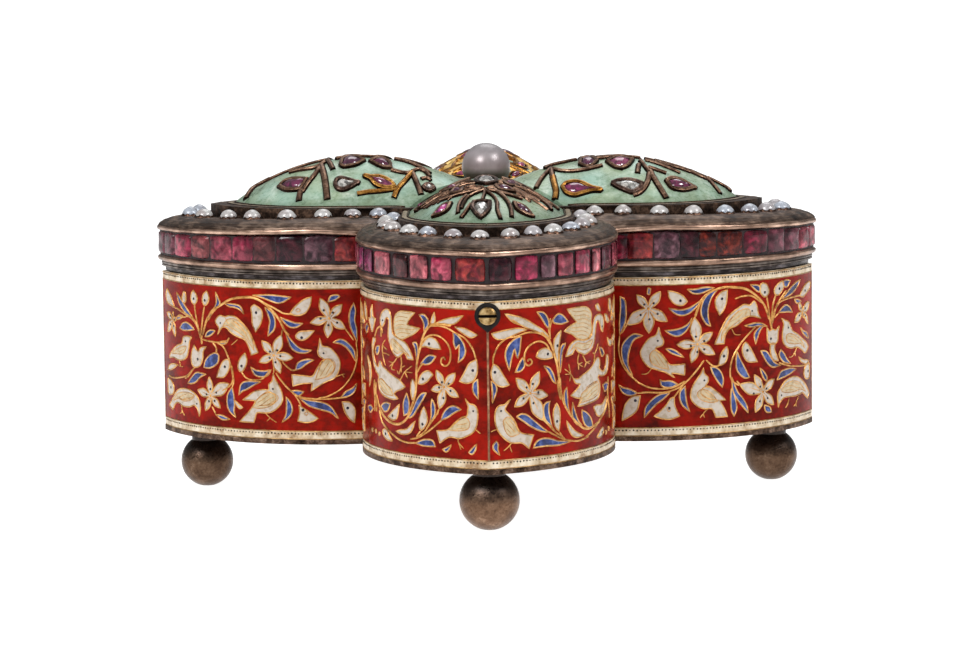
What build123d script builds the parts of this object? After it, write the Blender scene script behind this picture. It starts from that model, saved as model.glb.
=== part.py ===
from build123d import *
import os
from math import acos, atan2, cos, degrees, pi, sin, sqrt

os.makedirs("parts", exist_ok=True)

# A footed silver box on a pointed quatrefoil plan, with a hinged lid.
# Millimetres. Origin on the floor under the centre of the plan, +Z up,
# front lobe towards -Y.

# ------------------------------------------------------------------ plan
TIP = 69.1            # centre of the plan to a lobe's crease, outer face
HALF_W = 25.8         # half width of a lobe at its widest
WIDEST = 32.3         # where a lobe is widest, from the centre
ARC_R = (HALF_W**2 + (TIP - WIDEST) ** 2) / (2 * HALF_W)
ARC_C = HALF_W - ARC_R

# --------------------------------------------------------------- heights
Z_FLOOR_PLATE = 12.1  # underside of the floor plate
FLOOR_T = 1.0
Z_WALL = Z_FLOOR_PLATE + FLOOR_T
Z_LOWER_BAND = 14.9   # top of the lower white border
Z_UPPER_BAND = 44.5   # underside of the upper white border
Z_TOP = 46.2          # top of the wall
Z_LID = 46.45         # underside of the lid frame
Z_STONES = 49.75      # channel of stones
STONES_H = 5.2
Z_SHOULDER = 56.1     # where the sloping shoulder begins
Z_LEDGE = 57.9        # ledge that carries the half pearls
Z_STEP = 60.4         # top of the raised step, foot of the domes
Z_STEP_FRONT = 59.7   # the same on the front lobe, which droops a little

# --------------------------------------------------------------- offsets
ENAMEL_T = 0.5
WALL_IN = -1.8        # inner face of the wall
COLLAR_IN = -2.6
COLLAR_TOP = 48.9
COLLAR_LOW = 36.0
LID_OUT = -0.6        # outer face of the lid frame
LID_IN = -1.5
MOULD = 1.0           # mouldings stand this far proud of the wall
PEARL_LINE = -5.2     # centre line of the half pearls
STEP_HALF_W = 18.0    # raised step: half width and reach of a lobe
STEP_TIP = 58.6
STEP_WALL = 1.2

# ------------------------------------------------------------------ feet
FOOT_AT = 60.4        # feet from the centre, on the lobes' axes
FOOT_FLAT = 1.6       # radius of the worn flat under a ball
BALL_R = {"front": 6.0, "right": 5.55, "back": 5.55, "left": 5.55}
NECK_R = 3.2
STUD_R = 1.2
NUT_R = 2.5
NUT_H = 1.6

# ----------------------------------------------------------------- hinge
HINGE_Y = 70.9
HINGE_Z = 47.0
KNUCKLE_R = 1.4
PIN_R = 0.6
PIN_CLEAR = 0.05
LID_KNUCKLE = 4.0     # half length of the lid's knuckle
BODY_KNUCKLE = (4.2, 9.0)

# ----------------------------------------------------------------- catch
CATCH_Z = 43.4
HEAD_R = 1.75
HEAD_CLEAR = 0.05
SHANK_R = 0.9
TRAVEL = 0.8
SOCKET_R = 2.55

# ----------------------------------------------------------------- domes
DOME_HALF_W = 16.0
DOME_TIP = 53.5
DOME_PEAK = 27.0
DOME_BASE = {"front": Z_STEP_FRONT, "right": Z_STEP, "back": Z_STEP, "left": Z_STEP}
DOME_H = {"front": 7.4, "right": 8.8, "back": 8.6, "left": 9.4}
FRONT_STEP_FROM = 18.3  # the front lobe of the step is lower from here outwards
PEARL_R = 5.2
PEARL_Z = 67.5

LOBES = ["front", "right", "back", "left"]


def turned(x, y, k):
    """A plan point turned k quarter turns anticlockwise."""
    for _ in range(k % 4):
        x, y = -y, x
    return (x, y)


def inner_corner(o):
    """x of the point where neighbouring lobes meet, for the plan offset by o."""
    r = ARC_R + o
    s = ARC_C + WIDEST
    return (s + sqrt(s * s - 2 * (ARC_C**2 + WIDEST**2 - r * r))) / 2


def along(o, u, k=0):
    """Plan point on the outline offset by o, u millimetres from the crease of lobe k."""
    r = ARC_R + o
    phi = acos(-ARC_C / r) - abs(u) / r
    x = ARC_C + r * cos(phi)
    return turned(x if u >= 0 else -x, -WIDEST - r * sin(phi), k)


def side_length(o):
    r = ARC_R + o
    a = inner_corner(o)
    return r * (acos(-ARC_C / r) - atan2(a - WIDEST, a - ARC_C))


def outline(o):
    """Arcs (start, middle, end) of the pointed quatrefoil offset by o, in order."""
    r = ARC_R + o
    tip = acos(-ARC_C / r)
    corner = inner_corner(0)
    round_corner = 2 * (ARC_C**2 + WIDEST**2 - r * r) > (ARC_C + WIDEST) ** 2 - 0.5
    if round_corner:
        low = atan2(corner - WIDEST, corner - ARC_C)
    else:
        a = inner_corner(o)
        low = atan2(a - WIDEST, a - ARC_C)

    def at(phi):
        return ARC_C + r * cos(phi), -WIDEST - r * sin(phi)

    arcs = []
    for k in range(4):
        end, mid, top = at(low), at((low + tip) / 2), (0.0, -WIDEST - r * sin(tip))
        arcs.append([turned(-end[0], end[1], k), turned(-mid[0], mid[1], k), turned(*top, k)])
        arcs.append([turned(*top, k), turned(*mid, k), turned(*end, k)])
        if round_corner:
            q = corner + o / sqrt(2)
            arcs.append([turned(*end, k), turned(q, -q, k), turned(-end[0], end[1], k + 1)])
    return arcs


def prism(o, z0, z1):
    """Upright prism on the plan offset by o."""
    with BuildPart() as p:
        with BuildSketch(Plane.XY.offset(z0)):
            with BuildLine():
                for a, b, c in outline(o):
                    ThreePointArc(a, b, c)
            make_face()
        extrude(amount=z1 - z0)
    return p.part


def ring(o_out, o_in, z0, z1):
    """Upright band between two offsets of the plan."""
    with BuildPart() as p:
        with BuildSketch(Plane.XY.offset(z0)):
            with BuildLine():
                for a, b, c in outline(o_out):
                    ThreePointArc(a, b, c)
            make_face()
            with BuildSketch(Plane.XY.offset(z0), mode=Mode.SUBTRACT):
                with BuildLine():
                    for a, b, c in outline(o_in):
                        ThreePointArc(a, b, c)
                make_face()
        extrude(amount=z1 - z0)
    return p.part


def slope(o0, z0, o1, z1):
    """Solid between the plan offset by o0 at z0 and by o1 at z1."""
    with BuildPart() as p:
        with BuildSketch(Plane.XY.offset(z0)):
            with BuildLine():
                for a, b, c in outline(o0):
                    ThreePointArc(a, b, c)
            make_face()
        with BuildSketch(Plane.XY.offset(z1)):
            with BuildLine():
                for a, b, c in outline(o1):
                    ThreePointArc(a, b, c)
            make_face()
        loft(ruled=True)
    return p.part


def sector(k, z0=0.0, z1=90.0):
    """Quarter of the plan that holds lobe k."""
    with BuildPart() as p:
        with BuildSketch(Plane.XY.offset(z0)):
            with BuildLine():
                Polyline((0, 0), turned(-110, -110, k), turned(110, -110, k), close=True)
            make_face()
        extrude(amount=z1 - z0)
    return p.part


def rods(points, r, z0, z1):
    """Upright round rods at plan points."""
    with BuildPart() as p:
        with BuildSketch(Plane.XY.offset(z0)):
            with Locations(*points):
                Circle(r)
        extrude(amount=z1 - z0)
    return p.part


def save(part, name):
    part.label = name
    export_step(part, f"parts/{name}.step")


# ------------------------------------------------------- shared cutters
corner = inner_corner(0) - 0.3
CORNER_R = 0.6
corner_points = [turned(corner, -corner, k) for k in range(4)]
crease_points = [turned(0, -(TIP - 0.12), k) for k in range(4)]
CREASE_R = 0.22
corner_rods = rods(corner_points, CORNER_R, Z_WALL, Z_TOP)
crease_rods = rods(crease_points, CREASE_R, Z_LOWER_BAND, Z_UPPER_BAND)

# drop-shaped socket of the catch, cut into the front crease
with BuildPart() as socket_pocket:
    with BuildSketch(Plane.XZ.offset(67.2)):
        with Locations((0, CATCH_Z)):
            Circle(SOCKET_R)
        with BuildLine():
            Polyline(
                (-SOCKET_R * 0.8, CATCH_Z - SOCKET_R * 0.6),
                (0, CATCH_Z - SOCKET_R - 0.75),
                (SOCKET_R * 0.8, CATCH_Z - SOCKET_R * 0.6),
                close=True,
            )
        make_face()
    extrude(amount=5)
with BuildPart() as shank_hole:
    with BuildSketch(Plane.XZ.offset(64.0)):
        with Locations((0, CATCH_Z)):
            Circle(SHANK_R + 0.2)
    extrude(amount=5)

# ------------------------------------------------------------ floor plate
with BuildPart() as base_plate:
    add(prism(0.15, Z_FLOOR_PLATE, Z_WALL))
    with BuildSketch(Plane.XY.offset(Z_FLOOR_PLATE)):
        with PolarLocations(FOOT_AT, 4):
            Circle(STUD_R)
    extrude(amount=FLOOR_T, mode=Mode.SUBTRACT)
save(base_plate.part, "base_plate")

# ------------------------------------------------- walls, one to a lobe
for k, lobe in enumerate(LOBES):
    with BuildPart() as wall:
        add(ring(-ENAMEL_T, WALL_IN, Z_WALL, Z_TOP))
        add(sector(k), mode=Mode.INTERSECT)
        add(corner_rods, mode=Mode.SUBTRACT)
        if lobe == "front":
            add(socket_pocket.part, mode=Mode.SUBTRACT)
            add(shank_hole.part, mode=Mode.SUBTRACT)
    save(wall.part, f"wall_{lobe}")

# collar that stands up inside the wall and centres the lid
with BuildPart() as body_collar:
    add(ring(WALL_IN, COLLAR_IN, COLLAR_LOW, COLLAR_TOP))
    add(shank_hole.part, mode=Mode.SUBTRACT)
save(body_collar.part, "body_collar")

# ----------------------------------------- enamel fields, two to a lobe
for k, lobe in enumerate(LOBES):
    with BuildPart() as enamel:
        add(ring(0.0, -ENAMEL_T, Z_LOWER_BAND, Z_UPPER_BAND))
        add(sector(k), mode=Mode.INTERSECT)
        add(corner_rods, mode=Mode.SUBTRACT)
        # the two halves stop at the gilt line in the crease
        with BuildSketch(Plane.XY.offset(Z_LOWER_BAND)):
            with Locations(turned(0, -TIP, k)):
                Rectangle(*((0.44, 4.0) if k % 2 == 0 else (4.0, 0.44)))
        extrude(amount=Z_UPPER_BAND - Z_LOWER_BAND, mode=Mode.SUBTRACT)
        if lobe == "front":
            add(socket_pocket.part, mode=Mode.SUBTRACT)
    save(enamel.part, f"enamel_{lobe}")

with BuildPart() as crease_wires:
    add(crease_rods)
    add(prism(-ENAMEL_T, Z_LOWER_BAND, Z_UPPER_BAND), mode=Mode.SUBTRACT)
    add(socket_pocket.part, mode=Mode.SUBTRACT)
save(crease_wires.part, "crease_wires")

with BuildPart() as corner_strips:
    add(corner_rods)
save(corner_strips.part, "corner_strips")

with BuildPart() as lower_border:
    add(ring(0.05, -ENAMEL_T, Z_WALL, Z_LOWER_BAND))
    add(corner_rods, mode=Mode.SUBTRACT)
save(lower_border.part, "lower_border")

with BuildPart() as upper_border:
    add(ring(0.05, -ENAMEL_T, Z_UPPER_BAND, Z_TOP))
    add(corner_rods, mode=Mode.SUBTRACT)
    add(socket_pocket.part, mode=Mode.SUBTRACT)
save(upper_border.part, "upper_border")

# ------------------------------------------------------------------ feet
for k, lobe in enumerate(LOBES):
    r = BALL_R[lobe]
    zc = sqrt(r * r - FOOT_FLAT**2)
    spot = turned(0, -FOOT_AT, k)
    with BuildPart() as foot:
        with Locations((*spot, zc)):
            Sphere(r)
        # worn flat under the ball
        with Locations((*spot, -r)):
            Box(4 * r, 4 * r, 2 * r, mode=Mode.SUBTRACT)
        # neck up to the floor plate
        with BuildSketch(Plane.XY.offset(zc)):
            with Locations(spot):
                Circle(NECK_R)
        extrude(amount=Z_FLOOR_PLATE - zc)
        # threaded stud through the plate
        with BuildSketch(Plane.XY.offset(Z_FLOOR_PLATE)):
            with Locations(spot):
                Circle(STUD_R)
        extrude(amount=FLOOR_T + NUT_H + 0.5)
    save(foot.part, f"foot_{lobe}")

with BuildPart() as foot_nuts:
    with BuildSketch(Plane.XY.offset(Z_WALL)):
        with PolarLocations(FOOT_AT, 4):
            RegularPolygon(NUT_R, 6)
            Circle(STUD_R, mode=Mode.SUBTRACT)
    extrude(amount=NUT_H)
save(foot_nuts.part, "foot_nuts")

# ----------------------------------------------------------------- hinge
with BuildPart() as body_hinge:
    # brackets from the back wall under the two outer knuckles
    with BuildSketch(Plane.YZ.offset(BODY_KNUCKLE[0])):
        with BuildLine():
            Polyline((63.0, 42.0), (66.4, 42.0), (HINGE_Y + 1.1, 46.2), (HINGE_Y, HINGE_Z), (69.4, 46.1), (63.0, 46.1), close=True)
        make_face()
    extrude(amount=BODY_KNUCKLE[1] - BODY_KNUCKLE[0])
    add(prism(0.05, 30, 60), mode=Mode.SUBTRACT)
    with BuildSketch(Plane.YZ.offset(BODY_KNUCKLE[0])):
        with Locations((HINGE_Y, HINGE_Z)):
            Circle(KNUCKLE_R)
    extrude(amount=BODY_KNUCKLE[1] - BODY_KNUCKLE[0])
    mirror(about=Plane.YZ)
    with BuildSketch(Plane.YZ.offset(-20)):
        with Locations((HINGE_Y, HINGE_Z)):
            Circle(PIN_R)
    extrude(amount=40, mode=Mode.SUBTRACT)
save(body_hinge.part, "body_hinge")

with BuildPart() as lid_hinge:
    with BuildSketch(Plane.YZ.offset(-LID_KNUCKLE)):
        with BuildLine():
            Polyline((64.0, 46.65), (70.0, 46.65), (HINGE_Y, 46.0), (HINGE_Y, 47.9), (64.0, 47.9), close=True)
        make_face()
    extrude(amount=2 * LID_KNUCKLE)
    add(prism(LID_OUT, 30, 60), mode=Mode.SUBTRACT)
    with BuildSketch(Plane.YZ.offset(-LID_KNUCKLE)):
        with Locations((HINGE_Y, HINGE_Z)):
            Circle(KNUCKLE_R)
    extrude(amount=2 * LID_KNUCKLE)
    with BuildSketch(Plane.YZ.offset(-20)):
        with Locations((HINGE_Y, HINGE_Z)):
            Circle(PIN_R + PIN_CLEAR)
    extrude(amount=40, mode=Mode.SUBTRACT)
save(lid_hinge.part, "lid_hinge")

with BuildPart() as hinge_pin:
    with BuildSketch(Plane.YZ.offset(-BODY_KNUCKLE[1])):
        with Locations((HINGE_Y, HINGE_Z)):
            Circle(PIN_R)
    extrude(amount=2 * BODY_KNUCKLE[1])
    # peened ends
    with BuildSketch(Plane.YZ.offset(BODY_KNUCKLE[1])):
        with Locations((HINGE_Y, HINGE_Z)):
            Circle(PIN_R + 0.35)
    extrude(amount=0.45)
    with BuildSketch(Plane.YZ.offset(-BODY_KNUCKLE[1])):
        with Locations((HINGE_Y, HINGE_Z)):
            Circle(PIN_R + 0.35)
    extrude(amount=-0.45)
save(hinge_pin.part, "hinge_pin")

# ----------------------------------------------------------------- catch
with BuildPart() as catch_socket:
    add(socket_pocket.part)
    with Locations((0, -69.3 - 25, CATCH_Z)):
        Box(20, 50, 20, mode=Mode.SUBTRACT)
    with BuildSketch(Plane.XZ.offset(60)):
        with Locations((0, CATCH_Z)):
            Circle(HEAD_R + HEAD_CLEAR)
    extrude(amount=15, mode=Mode.SUBTRACT)
save(catch_socket.part, "catch_socket")

HEAD_FRONT = 69.85
HEAD_BACK = 68.35
BAR_FRONT = 65.3
BAR_T = 0.9
BAR_BACK = BAR_FRONT - BAR_T
SHANK_END = BAR_BACK - 0.4
with BuildPart() as catch_button:
    with BuildSketch(Plane.XZ.offset(HEAD_BACK)):
        with Locations((0, CATCH_Z)):
            Circle(HEAD_R)
    extrude(amount=HEAD_FRONT - HEAD_BACK)
    chamfer(catch_button.faces().sort_by(Axis.Y)[0].edges(), 0.25)
    # screwdriver slot
    with Locations((0, -HEAD_FRONT, CATCH_Z)):
        Box(4, 1.0, 0.45, mode=Mode.SUBTRACT)
    # shank, screwed into the latch bar
    with BuildSketch(Plane.XZ.offset(SHANK_END)):
        with Locations((0, CATCH_Z)):
            Circle(SHANK_R)
    extrude(amount=HEAD_BACK - SHANK_END)
save(catch_button.part, "catch_button")

with BuildPart() as latch_bar:
    with BuildSketch(Plane.XZ.offset(BAR_BACK)):
        with Locations((0, 46.2)):
            Rectangle(4.0, 10.0)
        with Locations((0, CATCH_Z)):
            Circle(SHANK_R, mode=Mode.SUBTRACT)
    extrude(amount=BAR_T)
    # nose above the keeper
    with BuildSketch(Plane.XZ.offset(BAR_FRONT)):
        with Locations((0, 50.83)):
            Rectangle(3.2, 0.74)
    extrude(amount=0.45)
save(latch_bar.part, "latch_bar")

with BuildPart() as lid_keeper:
    with BuildSketch(Plane.XZ.offset(65.95)):
        with Locations((0, 49.8)):
            Rectangle(3.6, 1.0)
    extrude(amount=4)
    add(prism(LID_IN, 40, 60), mode=Mode.INTERSECT)
save(lid_keeper.part, "lid_keeper")

# bracket behind the bar, soldered to the collar
with BuildPart() as catch_guide:
    with BuildSketch(Plane.XY.offset(39.0)):
        with BuildLine():
            Polyline(
                (-3.2, -66.5), (-2.35, -66.5), (-2.35, -63.15), (2.35, -63.15), (2.35, -66.5),
                (3.2, -66.5), (3.2, -62.5), (-3.2, -62.5), close=True,
            )
        make_face()
    extrude(amount=6.6)
    add(prism(COLLAR_IN, 30, 60), mode=Mode.INTERSECT)
save(catch_guide.part, "catch_guide")

# leaf spring from the guide to the end of the shank
with BuildPart() as catch_spring:
    with BuildSketch(Plane.YZ.offset(-0.8)):
        with BuildLine():
            Polyline(
                (-63.15, 39.3), (-63.15, 40.4), (-63.8, 43.9), (-64.0, 43.9),
                (-63.37, 40.4), (-63.37, 39.3), close=True,
            )
        make_face()
    extrude(amount=1.6)
save(catch_spring.part, "catch_spring")

# ------------------------------------------------------------- lid frame
with BuildPart() as lid_frame:
    add(ring(LID_OUT, LID_IN, Z_LID, Z_SHOULDER))
save(lid_frame.part, "lid_frame")

with BuildPart() as lower_moulding:
    add(slope(0.15, 48.3, MOULD, 48.95))
    add(prism(MOULD, 48.95, 49.3))
    add(slope(MOULD, 49.3, 0.75, Z_STONES))
    add(prism(LID_OUT, 48, 50), mode=Mode.SUBTRACT)
save(lower_moulding.part, "lower_moulding")

with BuildPart() as upper_moulding:
    add(slope(0.75, Z_STONES + STONES_H, MOULD + 0.15, 55.3))
    add(prism(MOULD + 0.15, 55.3, 55.75))
    add(slope(MOULD + 0.15, 55.75, 0.8, Z_SHOULDER))
    add(prism(LID_OUT, 54, 57), mode=Mode.SUBTRACT)
save(upper_moulding.part, "upper_moulding")

# cover: sloping shoulder, then the ledge, one sheet over the whole plan
with BuildPart() as lid_cover:
    add(slope(0.8, Z_SHOULDER, -0.6, 57.1))
    add(slope(-0.6, 57.1, -2.9, Z_LEDGE))
    add(slope(-2.4, Z_SHOULDER, -3.6, 57.0), mode=Mode.SUBTRACT)
    with BuildSketch(Plane.XY.offset(50)):
        Circle(0.9)
    extrude(amount=12, mode=Mode.SUBTRACT)
save(lid_cover.part, "lid_cover")



def step_outline(half_w, tip):
    """Arcs of the raised step: its lobes are blunter than those of the wall."""
    r = (half_w**2 + (tip - WIDEST) ** 2) / (2 * half_w)
    c = half_w - r
    low, high = -0.12, acos(-c / r)

    def at(phi):
        return c + r * cos(phi), -WIDEST - r * sin(phi)

    arcs = []
    for k in range(4):
        end, mid = at(low), at((low + high) / 2)
        arcs.append([turned(-end[0], end[1], k), turned(-mid[0], mid[1], k), turned(0, -tip, k)])
        arcs.append([turned(0, -tip, k), turned(*mid, k), turned(*end, k)])
        q = (end[0] - end[1]) / 2 - 4.6
        arcs.append([turned(*end, k), turned(q, -q, k), turned(-end[0], end[1], k + 1)])
    return arcs


def step_block(half_w, tip, z0, z1):
    with BuildPart() as p:
        with BuildSketch(Plane.XY.offset(z0)):
            with BuildLine():
                for a, b, c in step_outline(half_w, tip):
                    ThreePointArc(a, b, c)
            make_face()
        extrude(amount=z1 - z0)
    return p.part


with BuildPart() as lid_step:
    add(step_block(STEP_HALF_W, STEP_TIP, Z_LEDGE, Z_STEP))
    add(step_block(STEP_HALF_W - STEP_WALL, STEP_TIP - STEP_WALL, Z_LEDGE, Z_STEP_FRONT - 0.8), mode=Mode.SUBTRACT)
    with Locations((0, -FRONT_STEP_FROM - 25, Z_STEP_FRONT + 1)):
        Box(60, 50, 2, mode=Mode.SUBTRACT)
    with BuildSketch(Plane.XY.offset(50)):
        Circle(0.9)
    extrude(amount=12, mode=Mode.SUBTRACT)
save(lid_step.part, "lid_step")

# --------------------------------------- stones in the channel, by lobe
# edges of the stones, millimetres along the outline from the crease
STONE_EDGES = {
    "front": [-55.1, -48.3, -41.6, -37.0, -31.7, -24.0, -18.6, -13.0, -7.3, 0.0,
              5.7, 11.7, 16.1, 21.3, 27.3, 31.6, 38.2, 44.3, 49.8, 55.1],
    "right": [-55.1, -52.3, -46.8, -41.3, -37.2, -33.2, -26.9, -20.0, -14.6, -9.4, -4.6, 0.0,
              5.8, 11.0, 17.2, 22.6, 28.9, 34.0, 39.6, 45.7, 50.4, 55.1],
    "back": [-55.1, -49.7, -43.9, -39.1, -32.8, -27.6, -21.9, -15.4, -10.8, -5.2, 0.0,
             6.2, 11.4, 16.6, 23.0, 28.3, 33.5, 39.9, 44.6, 49.9, 55.1],
    "left": [-55.1, -50.3, -44.4, -39.4, -33.0, -27.8, -22.2, -16.3, -11.1, -5.4, 0.0,
             4.2, 9.0, 15.5, 21.2, 27.2, 32.3, 37.3, 43.3, 49.5, 55.1],
}
for k, lobe in enumerate(LOBES):
    edges = STONE_EDGES[lobe]
    with BuildPart() as stones:
        for a, b in zip(edges, edges[1:]):
            a, b = a + 0.16, b - 0.16
            with BuildSketch(Plane.XY.offset(Z_STONES + 0.15)):
                with BuildLine():
                    Polyline(
                        along(-0.4, a, k), along(0.5, a, k), along(0.95, a + 0.5, k),
                        along(0.95, b - 0.5, k), along(0.5, b, k), along(-0.4, b, k), close=True,
                    )
                make_face()
        extrude(amount=STONES_H - 0.3)
    save(stones.part, f"channel_stones_{lobe}")

# --------------------------------------------------- half pearls, by lobe
PEARL_R_SMALL = 1.85
COLLET_R = 2.1
COLLET_H = 0.45
PEARL_U = {
    "front": [-48.6, -41.6, -34.8, -28.5, -20.7, -14.5, -7.6, -1.4, 5.2, 10.9, 16.7, 23.5, 29.9, 36.5, 42.6, 48.8],
    "right": [-49.4, -43.6, -36.1, -28.7, -21.1, -14.8, -8.7, -2.5, 4.4, 11.4, 18.5, 25.6, 32.7, 40.0, 47.4],
    "back": [-48.8, -41.8, -34.8, -27.8, -20.8, -13.8, -6.9, 0.0, 6.9, 13.8, 20.8, 27.8, 34.8, 41.8, 48.8],
    "left": [-47.8, -40.6, -33.2, -26.2, -19.0, -12.0, -5.0, 1.7, 8.4, 16.0, 22.6, 30.6, 37.9, 44.4, 49.6],
}
with BuildPart() as pearl_collets:
    with BuildSketch(Plane.XY.offset(Z_LEDGE)):
        for k, lobe in enumerate(LOBES):
            with Locations(*[along(PEARL_LINE, u, k) for u in PEARL_U[lobe]]):
                Circle(COLLET_R)
    extrude(amount=COLLET_H)
save(pearl_collets.part, "pearl_collets")
for k, lobe in enumerate(LOBES):
    with BuildPart() as pearls:
        with Locations(*[(*along(PEARL_LINE, u, k), Z_LEDGE + COLLET_H) for u in PEARL_U[lobe]]):
            Sphere(PEARL_R_SMALL, arc_size1=0, align=(Align.CENTER, Align.CENTER, Align.MIN))
    save(pearls.part, f"pearls_{lobe}")


# ----------------------------------------------------------------- domes
def dome_half_width(s):
    if s <= WIDEST:
        return DOME_HALF_W
    d = DOME_TIP - WIDEST
    r = (DOME_HALF_W**2 + d * d) / (2 * DOME_HALF_W)
    return DOME_HALF_W - r + sqrt(max(0.0, r * r - (s - WIDEST) ** 2))


def ridge(s, h):
    x = (s - DOME_PEAK) / (DOME_TIP - DOME_PEAK) if s > DOME_PEAK else (DOME_PEAK - s) / 29.5
    return h * max(0.0, cos(pi / 2 * x)) ** 0.8


def dome_z(s, t, k):
    lobe = LOBES[k]
    w = dome_half_width(s)
    if s >= DOME_TIP or abs(t) >= w:
        return DOME_BASE[lobe]
    return DOME_BASE[lobe] + ridge(s, DOME_H[lobe]) * cos(pi / 2 * t / w)


def shell(k, h, inset, z0):
    """Dome over lobe k, or the space inside it when inset."""
    with BuildPart() as p:
        for s in [0, 6, 12, 19, 27, 35, 42, 47.5, 51.5, 53.2]:
            w = dome_half_width(s) - inset
            top = ridge(s, h) - inset
            if w < 0.3 or top < 0.12:
                continue
            spot = turned(0, -s, k)
            out = turned(0, -1, k)
            side = turned(1, 0, k)
            with BuildSketch(Plane(origin=(*spot, z0), x_dir=(*side, 0), z_dir=(*out, 0))):
                with BuildLine():
                    Spline(*[(w * q / 5, top * cos(pi / 2 * q / 5)) for q in range(-5, 6)])
                    Line((w, 0), (-w, 0))
                make_face()
        loft()
    return p.part


def on_dome(s, t, k, lift=0.0):
    x, y = turned(t, -s, k)
    return Vector(x, y, dome_z(s, t, k) + lift)


def dome_normal(s, t, k):
    e = 0.2
    ds = on_dome(s + e, t, k) - on_dome(s - e, t, k)
    dt = on_dome(s, t + e, k) - on_dome(s, t - e, k)
    n = ds.cross(dt)
    return (n if n.Z > 0 else -n).normalized()


def dome_plane(s, t, k, along_s, along_t, lift):
    n = dome_normal(s, t, k)
    d = on_dome(s + 0.2 * along_s, t + 0.2 * along_t, k) - on_dome(s, t, k)
    d = (d - n * d.dot(n)).normalized()
    return Plane(origin=on_dome(s, t, k) + n * lift, x_dir=d, z_dir=n)


for k, lobe in enumerate(LOBES):
    with BuildPart() as dome:
        add(shell(k, DOME_H[lobe], 0.0, DOME_BASE[lobe]))
        add(shell(k, DOME_H[lobe], 1.1, DOME_BASE[lobe]), mode=Mode.SUBTRACT)
        # the middle of the step stands at one height under all four domes
        with Locations((0, 25 - FRONT_STEP_FROM, Z_STEP - 2)):
            Box(80, 50, 4, mode=Mode.SUBTRACT)
        add(sector(k), mode=Mode.INTERSECT)
        with BuildSketch(Plane.XY.offset(50)):
            Circle(3.1)
        extrude(amount=30, mode=Mode.SUBTRACT)
        # room for the finial pearl
        with Locations((0, 0, PEARL_Z)):
            Sphere(PEARL_R + 0.1, mode=Mode.SUBTRACT)
    save(dome.part, f"enamel_dome_{lobe}")

# leaf settings: s, t, direction (ds, dt), length, width
RUBY_LEAVES = [
    (40.8, 7.6, -1.0, 0.1, 8.4, 4.4),
    (22.2, 10.1, -1.0, 0.3, 8.0, 4.2),
    (28.9, 4.2, -1.0, -0.3, 6.4, 3.6),
    (21.9, 4.8, -1.0, 0.3, 5.6, 3.4),
]
DIAMOND_LEAVES = [(29.9, 10.3, -1.0, 0.1, 7.4, 4.2)]
KITES = [(47.6, 0.0, 1.0, 0.0, 7.0, 4.8)]
# twigs on one side of the ridge, as points (s, t)
TWIGS = [
    [(35.4, 6.4), (38.0, 10.1), (39.4, 13.0)],
    [(39.4, 3.0), (35.1, 4.3), (34.6, 5.0), (33.6, 10.7), (33.3, 13.8)],
    [(27.4, 13.0), (23.9, 12.6), (17.7, 9.4), (15.6, 7.0), (12.8, 2.0)],
    [(15.6, 7.0), (14.5, 10.3), (14.2, 12.6)],
]


def leaf_points(length, width):
    a, b = length / 2, width / 2
    return [(-a, 0), (0, -b), (a, 0)], [(a, 0), (0, b), (-a, 0)]


for k, lobe in enumerate(LOBES):
    with BuildPart() as branches:
        for leaf in RUBY_LEAVES + DIAMOND_LEAVES:
            for side in (1, -1):
                s, t, ds, dt, length, width = leaf
                with BuildSketch(dome_plane(s, side * t, k, ds, side * dt, -0.35)):
                    with BuildLine():
                        for a, b, c in leaf_points(length, width):
                            ThreePointArc(a, b, c)
                    make_face()
                extrude(amount=1.05)
        for s, t, ds, dt, length, width in KITES:
            with BuildSketch(dome_plane(s, t, k, ds, dt, -0.35)):
                with BuildLine():
                    Polyline((-length / 2, 0), (-0.6, -width / 2), (length / 2, 0), (-0.6, width / 2), close=True)
                make_face()
            extrude(amount=1.05)
        for twig in TWIGS:
            for side in (1, -1):
                with BuildLine() as path:
                    Spline(*[on_dome(s, side * t, k, 0.1) for s, t in twig])
                with BuildSketch(Plane(origin=path.line @ 0, z_dir=path.line % 0)):
                    Circle(0.45)
                sweep(path=path.line)
        with BuildLine() as path:
            Spline(*[on_dome(s, 0, k, 0.1) for s in (43.5, 39, 34, 28, 22, 16, 11)])
        with BuildSketch(Plane(origin=path.line @ 0, z_dir=path.line % 0)):
            Circle(0.5)
        sweep(path=path.line)
    save(branches.part, f"branchwork_{lobe}")

with BuildPart() as rubies:
    for k, lobe in enumerate(LOBES):
        for s, t, ds, dt, length, width in RUBY_LEAVES:
            for side in (1, -1):
                with BuildSketch(dome_plane(s, side * t, k, ds, side * dt, 0.7)):
                    with BuildLine():
                        for a, b, c in leaf_points(length * 0.66, width * 0.66):
                            ThreePointArc(a, b, c)
                    make_face()
                extrude(amount=0.55, taper=22)
save(rubies.part, "dome_rubies")

with BuildPart() as diamonds:
    for k, lobe in enumerate(LOBES):
        for s, t, ds, dt, length, width in DIAMOND_LEAVES:
            for side in (1, -1):
                with BuildSketch(dome_plane(s, side * t, k, ds, side * dt, 0.7)):
                    with BuildLine():
                        for a, b, c in leaf_points(length * 0.6, width * 0.6):
                            ThreePointArc(a, b, c)
                    make_face()
                extrude(amount=0.45, taper=22)
        for s, t, ds, dt, length, width in KITES:
            with BuildSketch(dome_plane(s, t, k, ds, dt, 0.7)):
                with BuildLine():
                    Polyline((-length * 0.3, 0), (-0.3, -width * 0.3), (length * 0.28, 0), (-0.3, width * 0.3), close=True)
                make_face()
            extrude(amount=0.45, taper=22)
save(diamonds.part, "dome_diamonds")

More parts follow.
